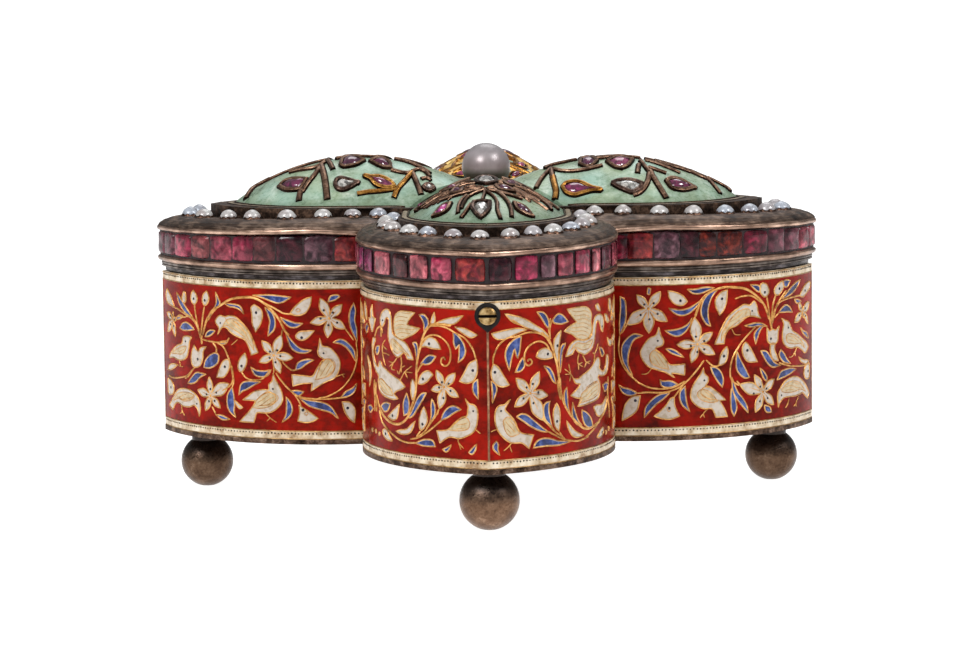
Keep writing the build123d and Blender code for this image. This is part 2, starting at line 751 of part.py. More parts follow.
# ---------------------------------------------------------------- finial
with BuildPart() as finial_pearl:
    with Locations((0, 0, PEARL_Z)):
        Sphere(PEARL_R)
    # bored for the stud
    with BuildSketch(Plane.XY.offset(PEARL_Z - PEARL_R - 1)):
        Circle(0.9)
    extrude(amount=1 + PEARL_R * 0.8, mode=Mode.SUBTRACT)
save(finial_pearl.part, "finial_pearl")

with BuildPart() as finial_cup:
    with BuildSketch(Plane.XY.offset(Z_STEP)):
        Circle(2.9)
    extrude(amount=2.4)
    with Locations((0, 0, PEARL_Z)):
        Sphere(PEARL_R, mode=Mode.SUBTRACT)
    with BuildSketch(Plane.XY.offset(50)):
        Circle(0.9)
    extrude(amount=20, mode=Mode.SUBTRACT)
save(finial_cup.part, "finial_cup")

with BuildPart() as finial_stud:
    with BuildSketch(Plane.XY.offset(54.6)):
        Circle(0.9)
    extrude(amount=PEARL_Z - PEARL_R + PEARL_R * 0.8 - 54.6)
save(finial_stud.part, "finial_stud")

with BuildPart() as finial_nut:
    with BuildSketch(Plane.XY.offset(55.3)):
        RegularPolygon(2.3, 6)
        Circle(0.9, mode=Mode.SUBTRACT)
    extrude(amount=57.0 - 55.3)
save(finial_nut.part, "finial_nut")
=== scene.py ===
import random
from math import acos, asin, atan2, ceil, cos, hypot, pi, radians, sin, sqrt

import bmesh
import bpy
from mathutils import Matrix, Vector, noise
from mathutils.geometry import tessellate_polygon


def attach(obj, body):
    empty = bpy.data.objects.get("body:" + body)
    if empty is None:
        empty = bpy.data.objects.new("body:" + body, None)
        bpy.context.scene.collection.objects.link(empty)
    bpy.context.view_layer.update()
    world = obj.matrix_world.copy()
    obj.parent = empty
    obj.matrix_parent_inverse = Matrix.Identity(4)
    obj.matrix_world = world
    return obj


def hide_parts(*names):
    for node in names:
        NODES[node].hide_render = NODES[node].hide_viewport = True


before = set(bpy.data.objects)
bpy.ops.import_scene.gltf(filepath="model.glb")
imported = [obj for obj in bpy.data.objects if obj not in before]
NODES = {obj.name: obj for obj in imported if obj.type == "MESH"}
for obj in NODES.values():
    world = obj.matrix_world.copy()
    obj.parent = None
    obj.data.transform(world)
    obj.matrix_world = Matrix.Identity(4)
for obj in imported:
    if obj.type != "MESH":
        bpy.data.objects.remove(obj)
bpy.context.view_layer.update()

MM = 0.001
LOBES = ["front", "right", "back", "left"]

# ------------------------------------------------------------ plan outline
# The plan is a quatrefoil of pointed lobes; lengths in millimetres as in the CAD.
TIP, HALF_W, WIDEST = 69.1, 25.8, 32.3
ARC_R = (HALF_W**2 + (TIP - WIDEST) ** 2) / (2 * HALF_W)
ARC_C = HALF_W - ARC_R
PHI0 = acos(-ARC_C / ARC_R)


def turned(x, y, k):
    for _ in range(k % 4):
        x, y = -y, x
    return x, y


def inner_corner(o):
    r = ARC_R + o
    s = ARC_C + WIDEST
    return (s + sqrt(s * s - 2 * (ARC_C**2 + WIDEST**2 - r * r))) / 2


def side_length(o):
    r = ARC_R + o
    return r * (acos(-ARC_C / r) - asin((inner_corner(o) - WIDEST) / r))


def along(o, u, k=0):
    """Plan point at offset o, u millimetres from the crease of lobe k."""
    r = ARC_R + o
    phi = acos(-ARC_C / r) - abs(u) / r
    x = ARC_C + r * cos(phi)
    return turned(x if u >= 0 else -x, -WIDEST - r * sin(phi), k)


def wall_map(k, sign):
    """(u, z, height above the enamel) on one half of lobe k to the frame."""
    def go(u, z, h):
        a = PHI0 - u / ARC_R
        x = ARC_C + (ARC_R + h) * cos(a)
        y = -WIDEST - (ARC_R + h) * sin(a)
        return Vector((*turned(sign * x, y, k), z)) * MM
    return go


DROOP = {(0, -1): 0.05, (0, 1): 0.3, (1, -1): 1.0, (1, 1): 0.6, (2, -1): 0.6, (2, 1): 0.6, (3, -1): 0.6, (3, 1): 1.0}


def droop(u, k):
    """Rise of the lid's bent upper edge above its height at the creases."""
    far = abs(u)
    rise = DROOP[k, 1 if u >= 0 else -1] * min(1.0, far / 44) ** 1.3
    if far > 46.5:
        rise += (0.5 - rise) * min(1.0, (far - 46.5) / 8.6)
    return rise


# -------------------------------------------------------------- lid domes
Z_STEP = 60.4
DOME_HALF_W, DOME_TIP, DOME_PEAK = 16.0, 53.5, 27.0
DOME_BASE = {"front": 59.7, "right": Z_STEP, "back": Z_STEP, "left": Z_STEP}
DOME_H = {"front": 7.4, "right": 8.8, "back": 8.6, "left": 9.4}


def dome_half_width(s):
    if s <= WIDEST:
        return DOME_HALF_W
    d = DOME_TIP - WIDEST
    r = (DOME_HALF_W**2 + d * d) / (2 * DOME_HALF_W)
    return DOME_HALF_W - r + sqrt(max(0.0, r * r - (s - WIDEST) ** 2))


def ridge(s, h):
    x = (s - DOME_PEAK) / (DOME_TIP - DOME_PEAK) if s > DOME_PEAK else (DOME_PEAK - s) / 29.5
    return h * max(0.0, cos(pi / 2 * x)) ** 0.8


def dome_z(s, t, k):
    lobe = LOBES[k]
    w = dome_half_width(s)
    if s >= DOME_TIP or abs(t) >= w:
        return DOME_BASE[lobe]
    return DOME_BASE[lobe] + ridge(s, DOME_H[lobe]) * cos(pi / 2 * t / w)


def dome_map(k):
    """(s, t, height above the enamel) on the dome of lobe k to the frame."""
    def at(s, t):
        x, y = turned(t, -s, k)
        return Vector((x, y, dome_z(s, t, k)))

    def go(s, t, h):
        e = 0.25
        ds = at(s + e, t) - at(s - e, t)
        dt = at(s, t + e) - at(s, t - e)
        n = ds.cross(dt)
        n = (n if n.z > 0 else -n).normalized()
        return (at(s, t) + n * h) * MM
    return go


# ---------------------------------------------------------- mesh building
class Build:
    """Collects vertices (metres), faces, face materials and vertex tints."""

    def __init__(self):
        self.v, self.f, self.m, self.c, self.d = [], [], [], [], []

    def add(self, verts, faces, mat=0, tint=(1, 1, 1, 1), deep=(0, 0, 0, 1), flip=False):
        base = len(self.v)
        self.v += verts
        self.c += tint if isinstance(tint, list) else [tint] * len(verts)
        self.d += deep if isinstance(deep, list) else [deep] * len(verts)
        for n, f in enumerate(faces):
            f = [base + i for i in f]
            self.f.append(f[::-1] if flip else f)
            self.m.append(mat[n] if isinstance(mat, list) else mat)

    def piece(self, name, mats, body, slot=None, replaces=(), sharp=None, colours=False, smooth=True):
        me = bpy.data.meshes.new(name)
        me.from_pydata([tuple(v) for v in self.v], [], self.f)
        for m in mats if isinstance(mats, list) else [mats]:
            me.materials.append(m)
        me.polygons.foreach_set("material_index", self.m)
        if colours:
            for attr, data in (("tint", self.c), ("deep", self.d)):
                layer = me.color_attributes.new(attr, "FLOAT_COLOR", "POINT")
                layer.data.foreach_set("color", [x for c in data for x in c])
        me.validate()
        me.polygons.foreach_set("use_smooth", [smooth] * len(me.polygons))
        if sharp and smooth:
            me.set_sharp_from_angle(angle=radians(sharp))
        me.update()
        ob = bpy.data.objects.new(name, me)
        bpy.context.scene.collection.objects.link(ob)
        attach(ob, body)
        if replaces:
            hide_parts(*replaces)
        return ob


def read_points(text):
    """'u,z u,z! ...' to [(u, z, is a corner)]."""
    out = []
    for word in text.split():
        corner = word.endswith("!")
        a, b = word.rstrip("!").split(",")
        out.append((float(a), float(b), corner))
    return out


def catmull(p0, p1, p2, p3, t):
    return tuple(
        0.5 * (2 * b + (c - a) * t + (2 * a - 5 * b + 4 * c - d) * t * t + (3 * b - a - 3 * c + d) * t**3)
        for a, b, c, d in zip(p0, p1, p2, p3)
    )


def run(points, step):
    """Smooth open run through the points, ends included."""
    p = [tuple(q[:2]) for q in points]
    if len(p) == 1:
        return p
    first = tuple(2 * a - b for a, b in zip(p[0], p[1]))
    last = tuple(2 * a - b for a, b in zip(p[-1], p[-2]))
    q = [first, *p, last]
    out = [p[0]]
    for i in range(1, len(q) - 2):
        n = max(1, ceil(hypot(q[i + 1][0] - q[i][0], q[i + 1][1] - q[i][1]) / step))
        for j in range(1, n + 1):
            out.append(catmull(q[i - 1], q[i], q[i + 1], q[i + 2], j / n))
    return out


def closed_loop(points, step=0.5):
    """Smooth closed loop, sharp at the corners; anticlockwise, no repeated end."""
    pts = list(points)
    if pts[0][:2] == pts[-1][:2]:
        pts.pop()
    corners = [i for i, p in enumerate(pts) if p[2]]
    if corners:
        pts = pts[corners[0]:] + pts[:corners[0]]
        pts.append(pts[0])
        out, part = [], [pts[0]]
        for p in pts[1:]:
            part.append(p)
            if p[2]:
                out += run(part, step)[:-1]
                part = [p]
    else:
        n = len(pts)
        p = [tuple(q[:2]) for q in pts]
        out = []
        for i in range(n):
            a, b, c, d = p[i - 1], p[i], p[(i + 1) % n], p[(i + 2) % n]
            m = max(1, ceil(hypot(c[0] - b[0], c[1] - b[1]) / step))
            out += [catmull(a, b, c, d, j / m) for j in range(m)]
    area = sum(a[0] * b[1] - b[0] * a[1] for a, b in zip(out, out[1:] + out[:1]))
    return out if area > 0 else out[::-1]


def loop_normals(loop):
    """Inward unit normals of an anticlockwise loop."""
    out = []
    n = len(loop)
    for i in range(n):
        a, b = loop[i - 1], loop[(i + 1) % n]
        dx, dy = b[0] - a[0], b[1] - a[1]
        d = hypot(dx, dy) or 1.0
        out.append((-dy / d, dx / d))
    return out


def reach(loop, i, direction):
    """Distance from corner i along direction to the far side of the loop."""
    px, py = loop[i]
    dx, dy = direction
    best = 1e9
    n = len(loop)
    for j in range(n):
        if j == i or (j + 1) % n == i:
            continue
        ax, ay = loop[j]
        bx, by = loop[(j + 1) % n]
        ex, ey = bx - ax, by - ay
        det = dx * ey - dy * ex
        if abs(det) < 1e-9:
            continue
        t = ((ax - px) * ey - (ay - py) * ex) / det
        w = ((ax - px) * dy - (ay - py) * dx) / det
        if t > 1e-4 and -1e-6 <= w <= 1 + 1e-6:
            best = min(best, t)
    return best


def inset_loop(loop, d, share=0.3):
    """The loop moved inwards by d, or by share of the local width where it is thin."""
    out = []
    for i, (p, n) in enumerate(zip(loop, loop_normals(loop))):
        w = reach(loop, i, n)
        m = min(d, share * w) if w < 1e8 else 0.0
        out.append((p[0] + n[0] * m, p[1] + n[1] * m))
    return out


def inside(loop, x, y):
    hit = False
    n = len(loop)
    for i in range(n):
        (ax, ay), (bx, by) = loop[i], loop[(i + 1) % n]
        if (ay > y) != (by > y) and x < (bx - ax) * (y - ay) / (by - ay) + ax:
            hit = not hit
    return hit


def ribbon(b, line, width, height, go, flip=False, closed=False, mat=0, tint=(1, 1, 1, 1), base=-0.03,
           section=None, taper=True):
    """A wire of flat-topped section laid along line on the surface of go."""
    sec = section or [(-1.0, 0.0), (-0.55, 0.85), (0.0, 1.0), (0.55, 0.85), (1.0, 0.0)]
    n = len(line)
    if n < 2:
        return
    verts, faces, mats = [], [], []
    m = len(sec)
    for i, (x, y) in enumerate(line):
        if closed:
            a, c = line[i - 1], line[(i + 1) % n]
        else:
            a, c = line[max(0, i - 1)], line[min(n - 1, i + 1)]
        dx, dy = c[0] - a[0], c[1] - a[1]
        d = hypot(dx, dy) or 1.0
        nx, ny = -dy / d, dx / d
        w = width / 2
        hh = height
        if taper and not closed and i in (0, n - 1):
            w *= 0.55
            hh *= 0.7
        for f, g in sec:
            # the first section point is on the right of the direction of travel
            verts.append(go(x + nx * w * -f, y + ny * w * -f, base + (hh - base) * g))
    rows = n if closed else n - 1
    for i in range(rows):
        p, q = i * m, ((i + 1) % n) * m
        for j in range(m - 1):
            faces.append((p + j, p + j + 1, q + j + 1, q + j))
            mats.append(mat[j] if isinstance(mat, list) else mat)
    if not closed:
        faces.append(tuple(range(m))[::-1])
        faces.append(tuple(range((n - 1) * m, n * m)))
        mats += [mat[0] if isinstance(mat, list) else mat] * 2
    # as seen from outside, left to right of travel must run clockwise
    b.add(verts, faces, mats, tint, flip=not flip)


def fill(b, loop, go, flip, low, high, edge, core, inset=0.3, mat=0, core_mat=None, cut=2.0, sink=None):
    """A filled enamel cell: a sloping rim and a flat core, cut every few millimetres to follow the wall."""
    inner = inset_loop(loop, inset)
    n = len(loop)
    bm = bmesh.new()
    tint = bm.verts.layers.float_color.new("tint")
    outer_v = [bm.verts.new((x, y, low)) for x, y in loop]
    inner_v = [bm.verts.new((x, y, high)) for x, y in inner]
    for v in outer_v:
        v[tint] = edge
    for v in inner_v:
        v[tint] = core if core_mat is None else edge
    for i in range(n):
        j = (i + 1) % n
        f = bm.faces.new((outer_v[i], outer_v[j], inner_v[j], inner_v[i]))
        f.material_index = mat
    top_v = inner_v
    if core_mat is not None:
        top_v = [bm.verts.new((x, y, high)) for x, y in inner]
        for v in top_v:
            v[tint] = core
    for tri in tessellate_polygon([[Vector((x, y, 0)) for x, y in inner]]):
        a, c, d = (inner[i] for i in tri)
        if (c[0] - a[0]) * (d[1] - a[1]) - (c[1] - a[1]) * (d[0] - a[0]) < 0:
            tri = tri[::-1]
        try:
            f = bm.faces.new([top_v[i] for i in tri])
            f.material_index = mat if core_mat is None else core_mat
        except ValueError:
            pass
    lo = min(x for x, _ in loop)
    hi = max(x for x, _ in loop)
    for s in range(ceil(lo / cut), int(hi / cut) + 1):
        geom = bm.verts[:] + bm.edges[:] + bm.faces[:]
        bmesh.ops.bisect_plane(bm, geom=geom, dist=1e-5, plane_co=(s * cut, 0, 0), plane_no=(1, 0, 0))
    bm.verts.index_update()
    verts = [go(*v.co) for v in bm.verts]
    tints = [tuple(v[tint]) for v in bm.verts]
    faces = [[v.index for v in f.verts] for f in bm.faces]
    mats = [f.material_index for f in bm.faces]
    bm.free()
    b.add(verts, faces, mats, tints, flip=flip)


def dome_dot(b, x, y, r, h, go, flip, mat=0, tint=(1, 1, 1, 1), n=10, squash=1.0):
    """A small raised drop of enamel."""
    rings = [(1.0, -0.02), (0.85, 0.55 * h), (0.5, 0.9 * h)]
    verts = [go(x + r * f * cos(2 * pi * i / n) * squash, y + r * f * sin(2 * pi * i / n), z) for f, z in rings for i in range(n)]
    verts.append(go(x, y, h))
    faces = []
    for q in range(2):
        for i in range(n):
            j = (i + 1) % n
            faces.append((q * n + i, q * n + j, (q + 1) * n + j, (q + 1) * n + i))
    for i in range(n):
        faces.append((2 * n + i, 2 * n + (i + 1) % n, 3 * n))
    b.add(verts, faces, mat, tint, flip=flip)


def loop_sweep(b, profile, steps=36, mat=0, wobble=0.0, seed=0.0, tint=(1, 1, 1, 1), sag=0.0, ragged=0.0, skip=0.0):
    """Sweeps a closed profile [(offset, z)] round the whole plan outline, mitred at creases and corners."""
    m = len(profile)
    verts, faces = [], []
    count = 0
    for k in range(4):
        for i in range(2 * steps):
            p = -1 + i / steps
            for o, z in profile:
                u = p * side_length(o)
                x, y = along(o, u, k)
                if sag:
                    z += sag * droop(p * side_length(0), k)
                if ragged:
                    q = Vector((x, y, z)) * 0.9
                    z += ragged * noise.noise(q)
                    grow = 1 + ragged * 0.008 * noise.noise(q * 1.7 + Vector((5, 0, 0)))
                    x, y = x * grow, y * grow
                if wobble:
                    q = Vector((x, y, z)) * 0.12 + Vector((seed, 0, 0))
                    r = noise.noise(q) * 0.6 + noise.noise(q * 3.1) * 0.4
                    rad = hypot(x, y)
                    x += x / rad * r * wobble
                    y += y / rad * r * wobble
                    z += noise.noise(q + Vector((0, 0, 7))) * wobble * 0.6
                verts.append(Vector((x, y, z)) * MM)
            count += 1
    for i in range(count):
        # skip leaves room for the catch at the front crease
        if skip and i < 2 * steps and abs((i + 0.5) / steps - 1) * side_length(0) < skip:
            continue
        a, c = i * m, ((i + 1) % count) * m
        for j in range(m):
            jj = (j + 1) % m
            faces.append((a + j, c + j, c + jj, a + jj))
    b.add(verts, faces, mat, tint)


# ------------------------------------------------------- wall ornament
# Points are (millimetres from the crease, height); a point with ! is a sharp corner.
L = {
    "white": [
        "3,42.6! 4.5,41.6 6,40.2 6.8,39! 4.6,39.3 3,39.8 2.2,41",
        "13.8,33.2! 12,33.3 10.5,32.9 10,31.6 8,31 6,30 4,28.6! 3.8,27.9! 6,28.2 8,27.9 10,28 11.8,28.8 12.6,30.5 13,32.2",
        "3,17.6! 5,19.3 7,21 9,21.8 12,22 14.3,21.4 15.8,20.3 16.3,19 16.2,17.4 15.9,16.6! 15.4,18 14.2,18.8 12.5,18.3 10,18.2 8,18.7 6.5,18.4 5,16.9!",
        "2.5,23.2 4.5,23 5.8,21.8 5.6,20.6 4,20 2.6,20.2",
        "2.4,25.2! 4,25.3 6,25.9 7.8,26.8! 5.6,26.8 3.6,26.3",
        "14.6,31.6! 15.4,30.6 16.2,30.4! 16.8,31.2 18.6,31.6! 17.6,30.5 17.4,29 16.6,27.5 15,26.9 13.9,27.3 13.5,28.7 13.8,30.2",
        "13.8,41.2 14,42.4 14.7,43.2! 15.6,42.4 16,41.4 15.4,40.4 14.6,40.3",
        "17.6,41.3 18,42.6 19,43.3! 19.6,42.3 19.5,41.2 18.8,40.4 18.1,40.3",
        "11,40.2 10.4,41.2 11.1,42.6! 11.8,42.4 11.9,40.8",
        "31.4,41.1! 33,40 33.2,38.4 32.6,36.8 31.6,35.4! 30.9,37 30.8,39 30.6,40.4",
        "43.9,42.9! 43.6,41.2 42.6,39.6 41,39 39.2,39.3! 40,40.4 41,41.4 42.4,42.4",
        "44.4,35.9! 43,34.4 42,33.9 41,34 40.4,34.7 41.2,35.6 42.8,35.8",
        "24.8,29.2 25,27.6 23.6,25.6 21.5,25.3! 22.2,27 23.4,28.9",
        "29,30.9! 29.4,29.4 29,28 28,26.8 27.2,27.6 27.4,29 28.2,30.2",
        "40.9,20.3! 41,18.8 40.6,17! 42.2,16.7 43.6,16.9 44.9,17.6! 43.8,18.4 42.4,19.4",
        "49.9,21! 51.6,20.8 52.6,19.2 52.4,16.6! 51.4,17.4 50.4,19",
        "26,21! 26.8,20.4 28.2,19.4! 27.4,19.1 26.4,20",
        "22,34.4! 22.4,35.7 21.6,36.7 21.5,37.4 22.6,38.4 24,38.2 25.2,38.5 27,38.2 28.8,36.8 30.4,34.8 31.4,32.6 32.1,31.1! 30.5,30.5! 30,32 29,33.6 27.2,34.2 25.5,35 24.4,35.9 23.2,35.9",
        "45.5,34.3! 46,32.7 47.4,32.4 48.8,31 49.6,29.4 49.4,27.6 48.4,26 46.6,25.2 45,24.3 43.5,23.3! 43.8,25! 41.6,24.8 39.7,24.3! 39.5,26.7! 42,26.5 43.8,26.4 44.8,28 45.8,29.5 46.3,29.9 45.3,30.6 45,31.6 45.2,32.4",
        "35.4,26.9! 35.1,25.2 34.4,24.6 34.3,23.4 33.2,23.4 31,22.9 29.4,21.8 28.2,21! 30,21 31.2,20.8 30,19 28.8,17.8 27.4,16.4! 30.8,16.4! 31.2,17.6 31.6,18.5 33.4,18.5 35,18.8 36.6,20 37.4,21.4 37.2,23 36.4,24.8 35.9,25.5",
    ],
    "wing": [
        "23.4,36.2! 24.6,36.4 26.4,35.6 28.6,34.4 30.2,32.8 31.2,31.4! 30.8,33.6 29.8,35.6 28.2,37.2 26.2,37.9 24.6,37.6",
        "44.4,25.6! 46,26 47.8,26.8 48.6,28.4 48.2,29.6 47,30 45.9,29.2 45,27.4",
        "30.6,19.6! 32,19.4 34.2,19.8 36,21 36.4,22 35,22.8 33.4,22.5 31.8,21.4",
        "5.2,28.9! 7.4,29.1 9.6,29.2 11,29.8 11.8,31 10.4,31 8.4,30.4 6.6,29.8",
        "5.6,18.9! 8,19.6 10.4,19.3 13,19.8 14.4,20.8 12.2,21.3 9.4,21.1 7.2,20.4",
    ],
    "blue": [
        "8.2,42.2! 10,40.9 12,39.3 14.4,37.4! 12,38 10,39.2 8.6,40.6",
        "7,36.4! 9,36.6 10.8,37.4! 9,37.5",
        "9.2,34.8! 10.4,35.9 12,36.2 13.6,35.7 14.8,34.9! 12.5,34.5 10.5,34.4",
        "21.6,43.2! 22.4,42 22.8,41 22,40 20.4,38.6 19.2,37! 19.8,38.7 21.2,40 21.8,41.4",
        "18.3,33.6! 18.8,34.6 20,35.2 21.3,35.1! 20.4,34.3 19.4,33.8",
        "21.6,32.6! 23,33 24.4,33.2 25.1,33.9! 24.2,32.6 22.8,32.3",
        "17.7,27.1! 18.2,28.6 19.6,29.9 21.4,30.5 22.2,30! 22,28.6 21,27.7 19.4,27.1",
        "12,23.3! 13.6,24.8 15.4,25.9 18.3,25.7! 16.6,25 15,23.8 13.4,23.3",
        "25.6,23.6! 24.4,22 24.2,20 24.8,18.4 26.4,17.2! 26,18.6 26.2,20 26,22",
        "21,17.4! 22.8,17.4 24.9,16.7! 22.8,16.5",
        "24,41! 26,41 28,40.6 28.9,39! 27.8,39.9 26.5,40.3 25.2,40.4",
        "31,43! 35,43.2 39.6,42.8! 38.2,41.9 36.8,41.5 35.2,41.9 33,42.6",
        "33.8,40.6! 35.4,39.6 36.1,37.8 35.8,36 34.4,34.6! 34.6,36.4 34.8,38",
        "37.2,38.6! 38.8,38 40.4,37.5 42,37.4! 40.8,36.6 39.4,36.5 38.2,37.3",
        "38.3,35.4! 39.8,33.6 41.6,32.1 43.8,31.8! 42.4,31.2 40.6,31.4 39.2,32.6",
        "40.2,27.6! 40.8,29.2 42.6,29.9 44.2,29.8! 42.6,28.9 41.4,28",
        "47.3,41.8! 47.8,43 49.2,43.3 49.8,42.9! 48.8,42.2",
        "52.6,41.5! 51.8,40 51.6,38 52,36 53.2,33.4! 53.2,36 52.8,38 53,40",
        "48.2,33.4! 49.8,34.1 51.4,33.2 52.6,31.6 52.8,29.4! 51.8,31.2 50.8,32.4 49.6,33.1",
        "30.3,28! 31.6,27.4 33.4,27.3 35,27.6! 34.2,26.4 32.8,26 31.2,26.4",
        "27.3,22! 27.8,24.2 29.4,25 32.6,25! 31,24.2 29.2,23.2 28.2,22.8",
        "38.2,22! 39.2,20.8 39.5,19.2 38.8,17.8 37.2,16.7! 38,18.2 38.2,20",
        "39.2,23.3! 40.6,23.4 42,23.2! 41.2,22.4 40.2,22.3",
        "40.9,21.9! 43,21.4 46,20.9 47.8,19.8 49.1,17.5! 47.4,18.8 45.4,19.4 43,20.2",
        "49.6,21.9! 50.8,23.2 52.2,23.9 53,24.8! 52.6,23.2 51.4,22.2",
    ],
    "stem": [
        "17.3,33 15.3,36.5 12.5,37.6 8.5,38.7 6,39",
        "17,33 15.5,36 13,37.5 11,37.2 9,37.2 7,36.6",
        "16.5,34 15.4,38 15,40.3",
        "17,34 17.7,38 18.2,40",
        "33,41.8 36,40.4 38,39.4 40,39.3",
        "17.5,33 19.5,32.8 22,32.7 24.3,32.9",
        "22,32.7 23.5,31.8 24.6,30 25.5,27.5 25.8,25.2 25,23.8 23,22.6",
        "25.6,28 26,25 25.6,23.5",
        "20.5,32.6 21.5,31.5 21.4,30.2",
        "14,26.5 12,25 9,24.2 5.5,23.8 3,24",
        "14.9,27 13.9,26.3 12.6,25 11,24.2",
        "28,26.8 29.3,25.6 31,25.3 33,25.7 34.7,27.5",
        "36,27 37,25.6 38.6,23.8 40.5,22.4 42.5,21.8 46,21.6 49,21.8 51,22",
        "40,22.6 41,21 41.4,20",
        "53,33.5 53.2,31 52.8,28.4 51.6,25.8 49.6,23.6 47,22.2 45,21.8",
        "35.6,28.5 35.6,27",
        "37.4,29.4 38.6,28.2 39.6,27.6 40.4,27.7",
        "20,19 21,17.6",
        "50.8,36.2 52.5,33.8",
        "37.4,34.9 37.6,36",
    ],
    "thick": [
        "17.5,34 19,37.5 21,39.5 23,40.6 25.5,41.9 28,42.4 31,42.5 33.5,41.5 35.5,39.8 37,38 38,36 39,34.8",
        "17.2,32 17.1,33 17.3,34",
    ],
    "fine": [
        "8.6,28 9,27.2 9.2,26.6 8,26.8", "9.2,26.6 10.3,26.6",
        "8,20 10,19.6 13,20.2 14.5,21", "9.3,18.2 9.6,17 10.6,16.2", "9.6,17 8.6,16.4",
        "27.2,33.6 26.2,32.8 25.6,32.4", "26,37.6 28.2,36.2 30,33.8", "24.2,38 24.8,36.8",
        "45,27.2 45.8,29.4 47,30 48.2,29 48.2,27.6 47,26.6", "48.6,26.2 50,26.7 50.6,26.8", "50,26.7 50.4,26.1",
        "31.2,20.8 33,22.4 34.4,23 35.8,22.2 35.6,20.8 34,20.2 32,20", "33.6,18.4 34.6,17.5 36,16.6", "34.6,17.5 33.8,16.8",
        "40.5,40.1 41,39.7 41.5,40.1 41,40.5 40.5,40.1", "42,18.6 42.4,18.2 42.8,18.6 42.4,19 42,18.6",
    ],
    "dots": "15.8,28.7 14.8,41.4 18.4,41.3 31.8,39.4 41.7,34.4 23.8,27.7 28.1,28.1 41.7,19.3 51,19.7 4.2,21.6",
    "eyes": "11.5,32.1 15.2,19.2 22.8,36.8 46.2,31.2 35.3,23.6",
    "stars": [
        ("5.8,36.3", "2.8,37.5 6.2,38 7.9,36.6 7,32.8 3,33.4", "4.8,36.9 6.1,37.2 6.8,36.3 6.4,34.9 4.8,35.1"),
        ("47.5,38.4", "45.7,42.6 50.2,41.3 50.8,36.2 47.1,34.4 43.6,37.5", "46.4,40.1 48.3,39.6 49.1,37.5 47.3,37 45.7,38.4"),
        ("35.6,30.6", "33,33.6 37.4,34.9 39.8,30.2 37,26.9 32.3,29.1", "34.8,31.4 36.4,31.7 37.1,30.5 36,29.2 34.7,30.1"),
        ("19.6,21.3", "19.3,25.2 24.8,24.2 22.3,18.9 18,18 15.6,22.2", "19.6,22.7 21.3,22.1 20.8,20.3 19.1,20.1 18.4,21.5"),
    ],
}
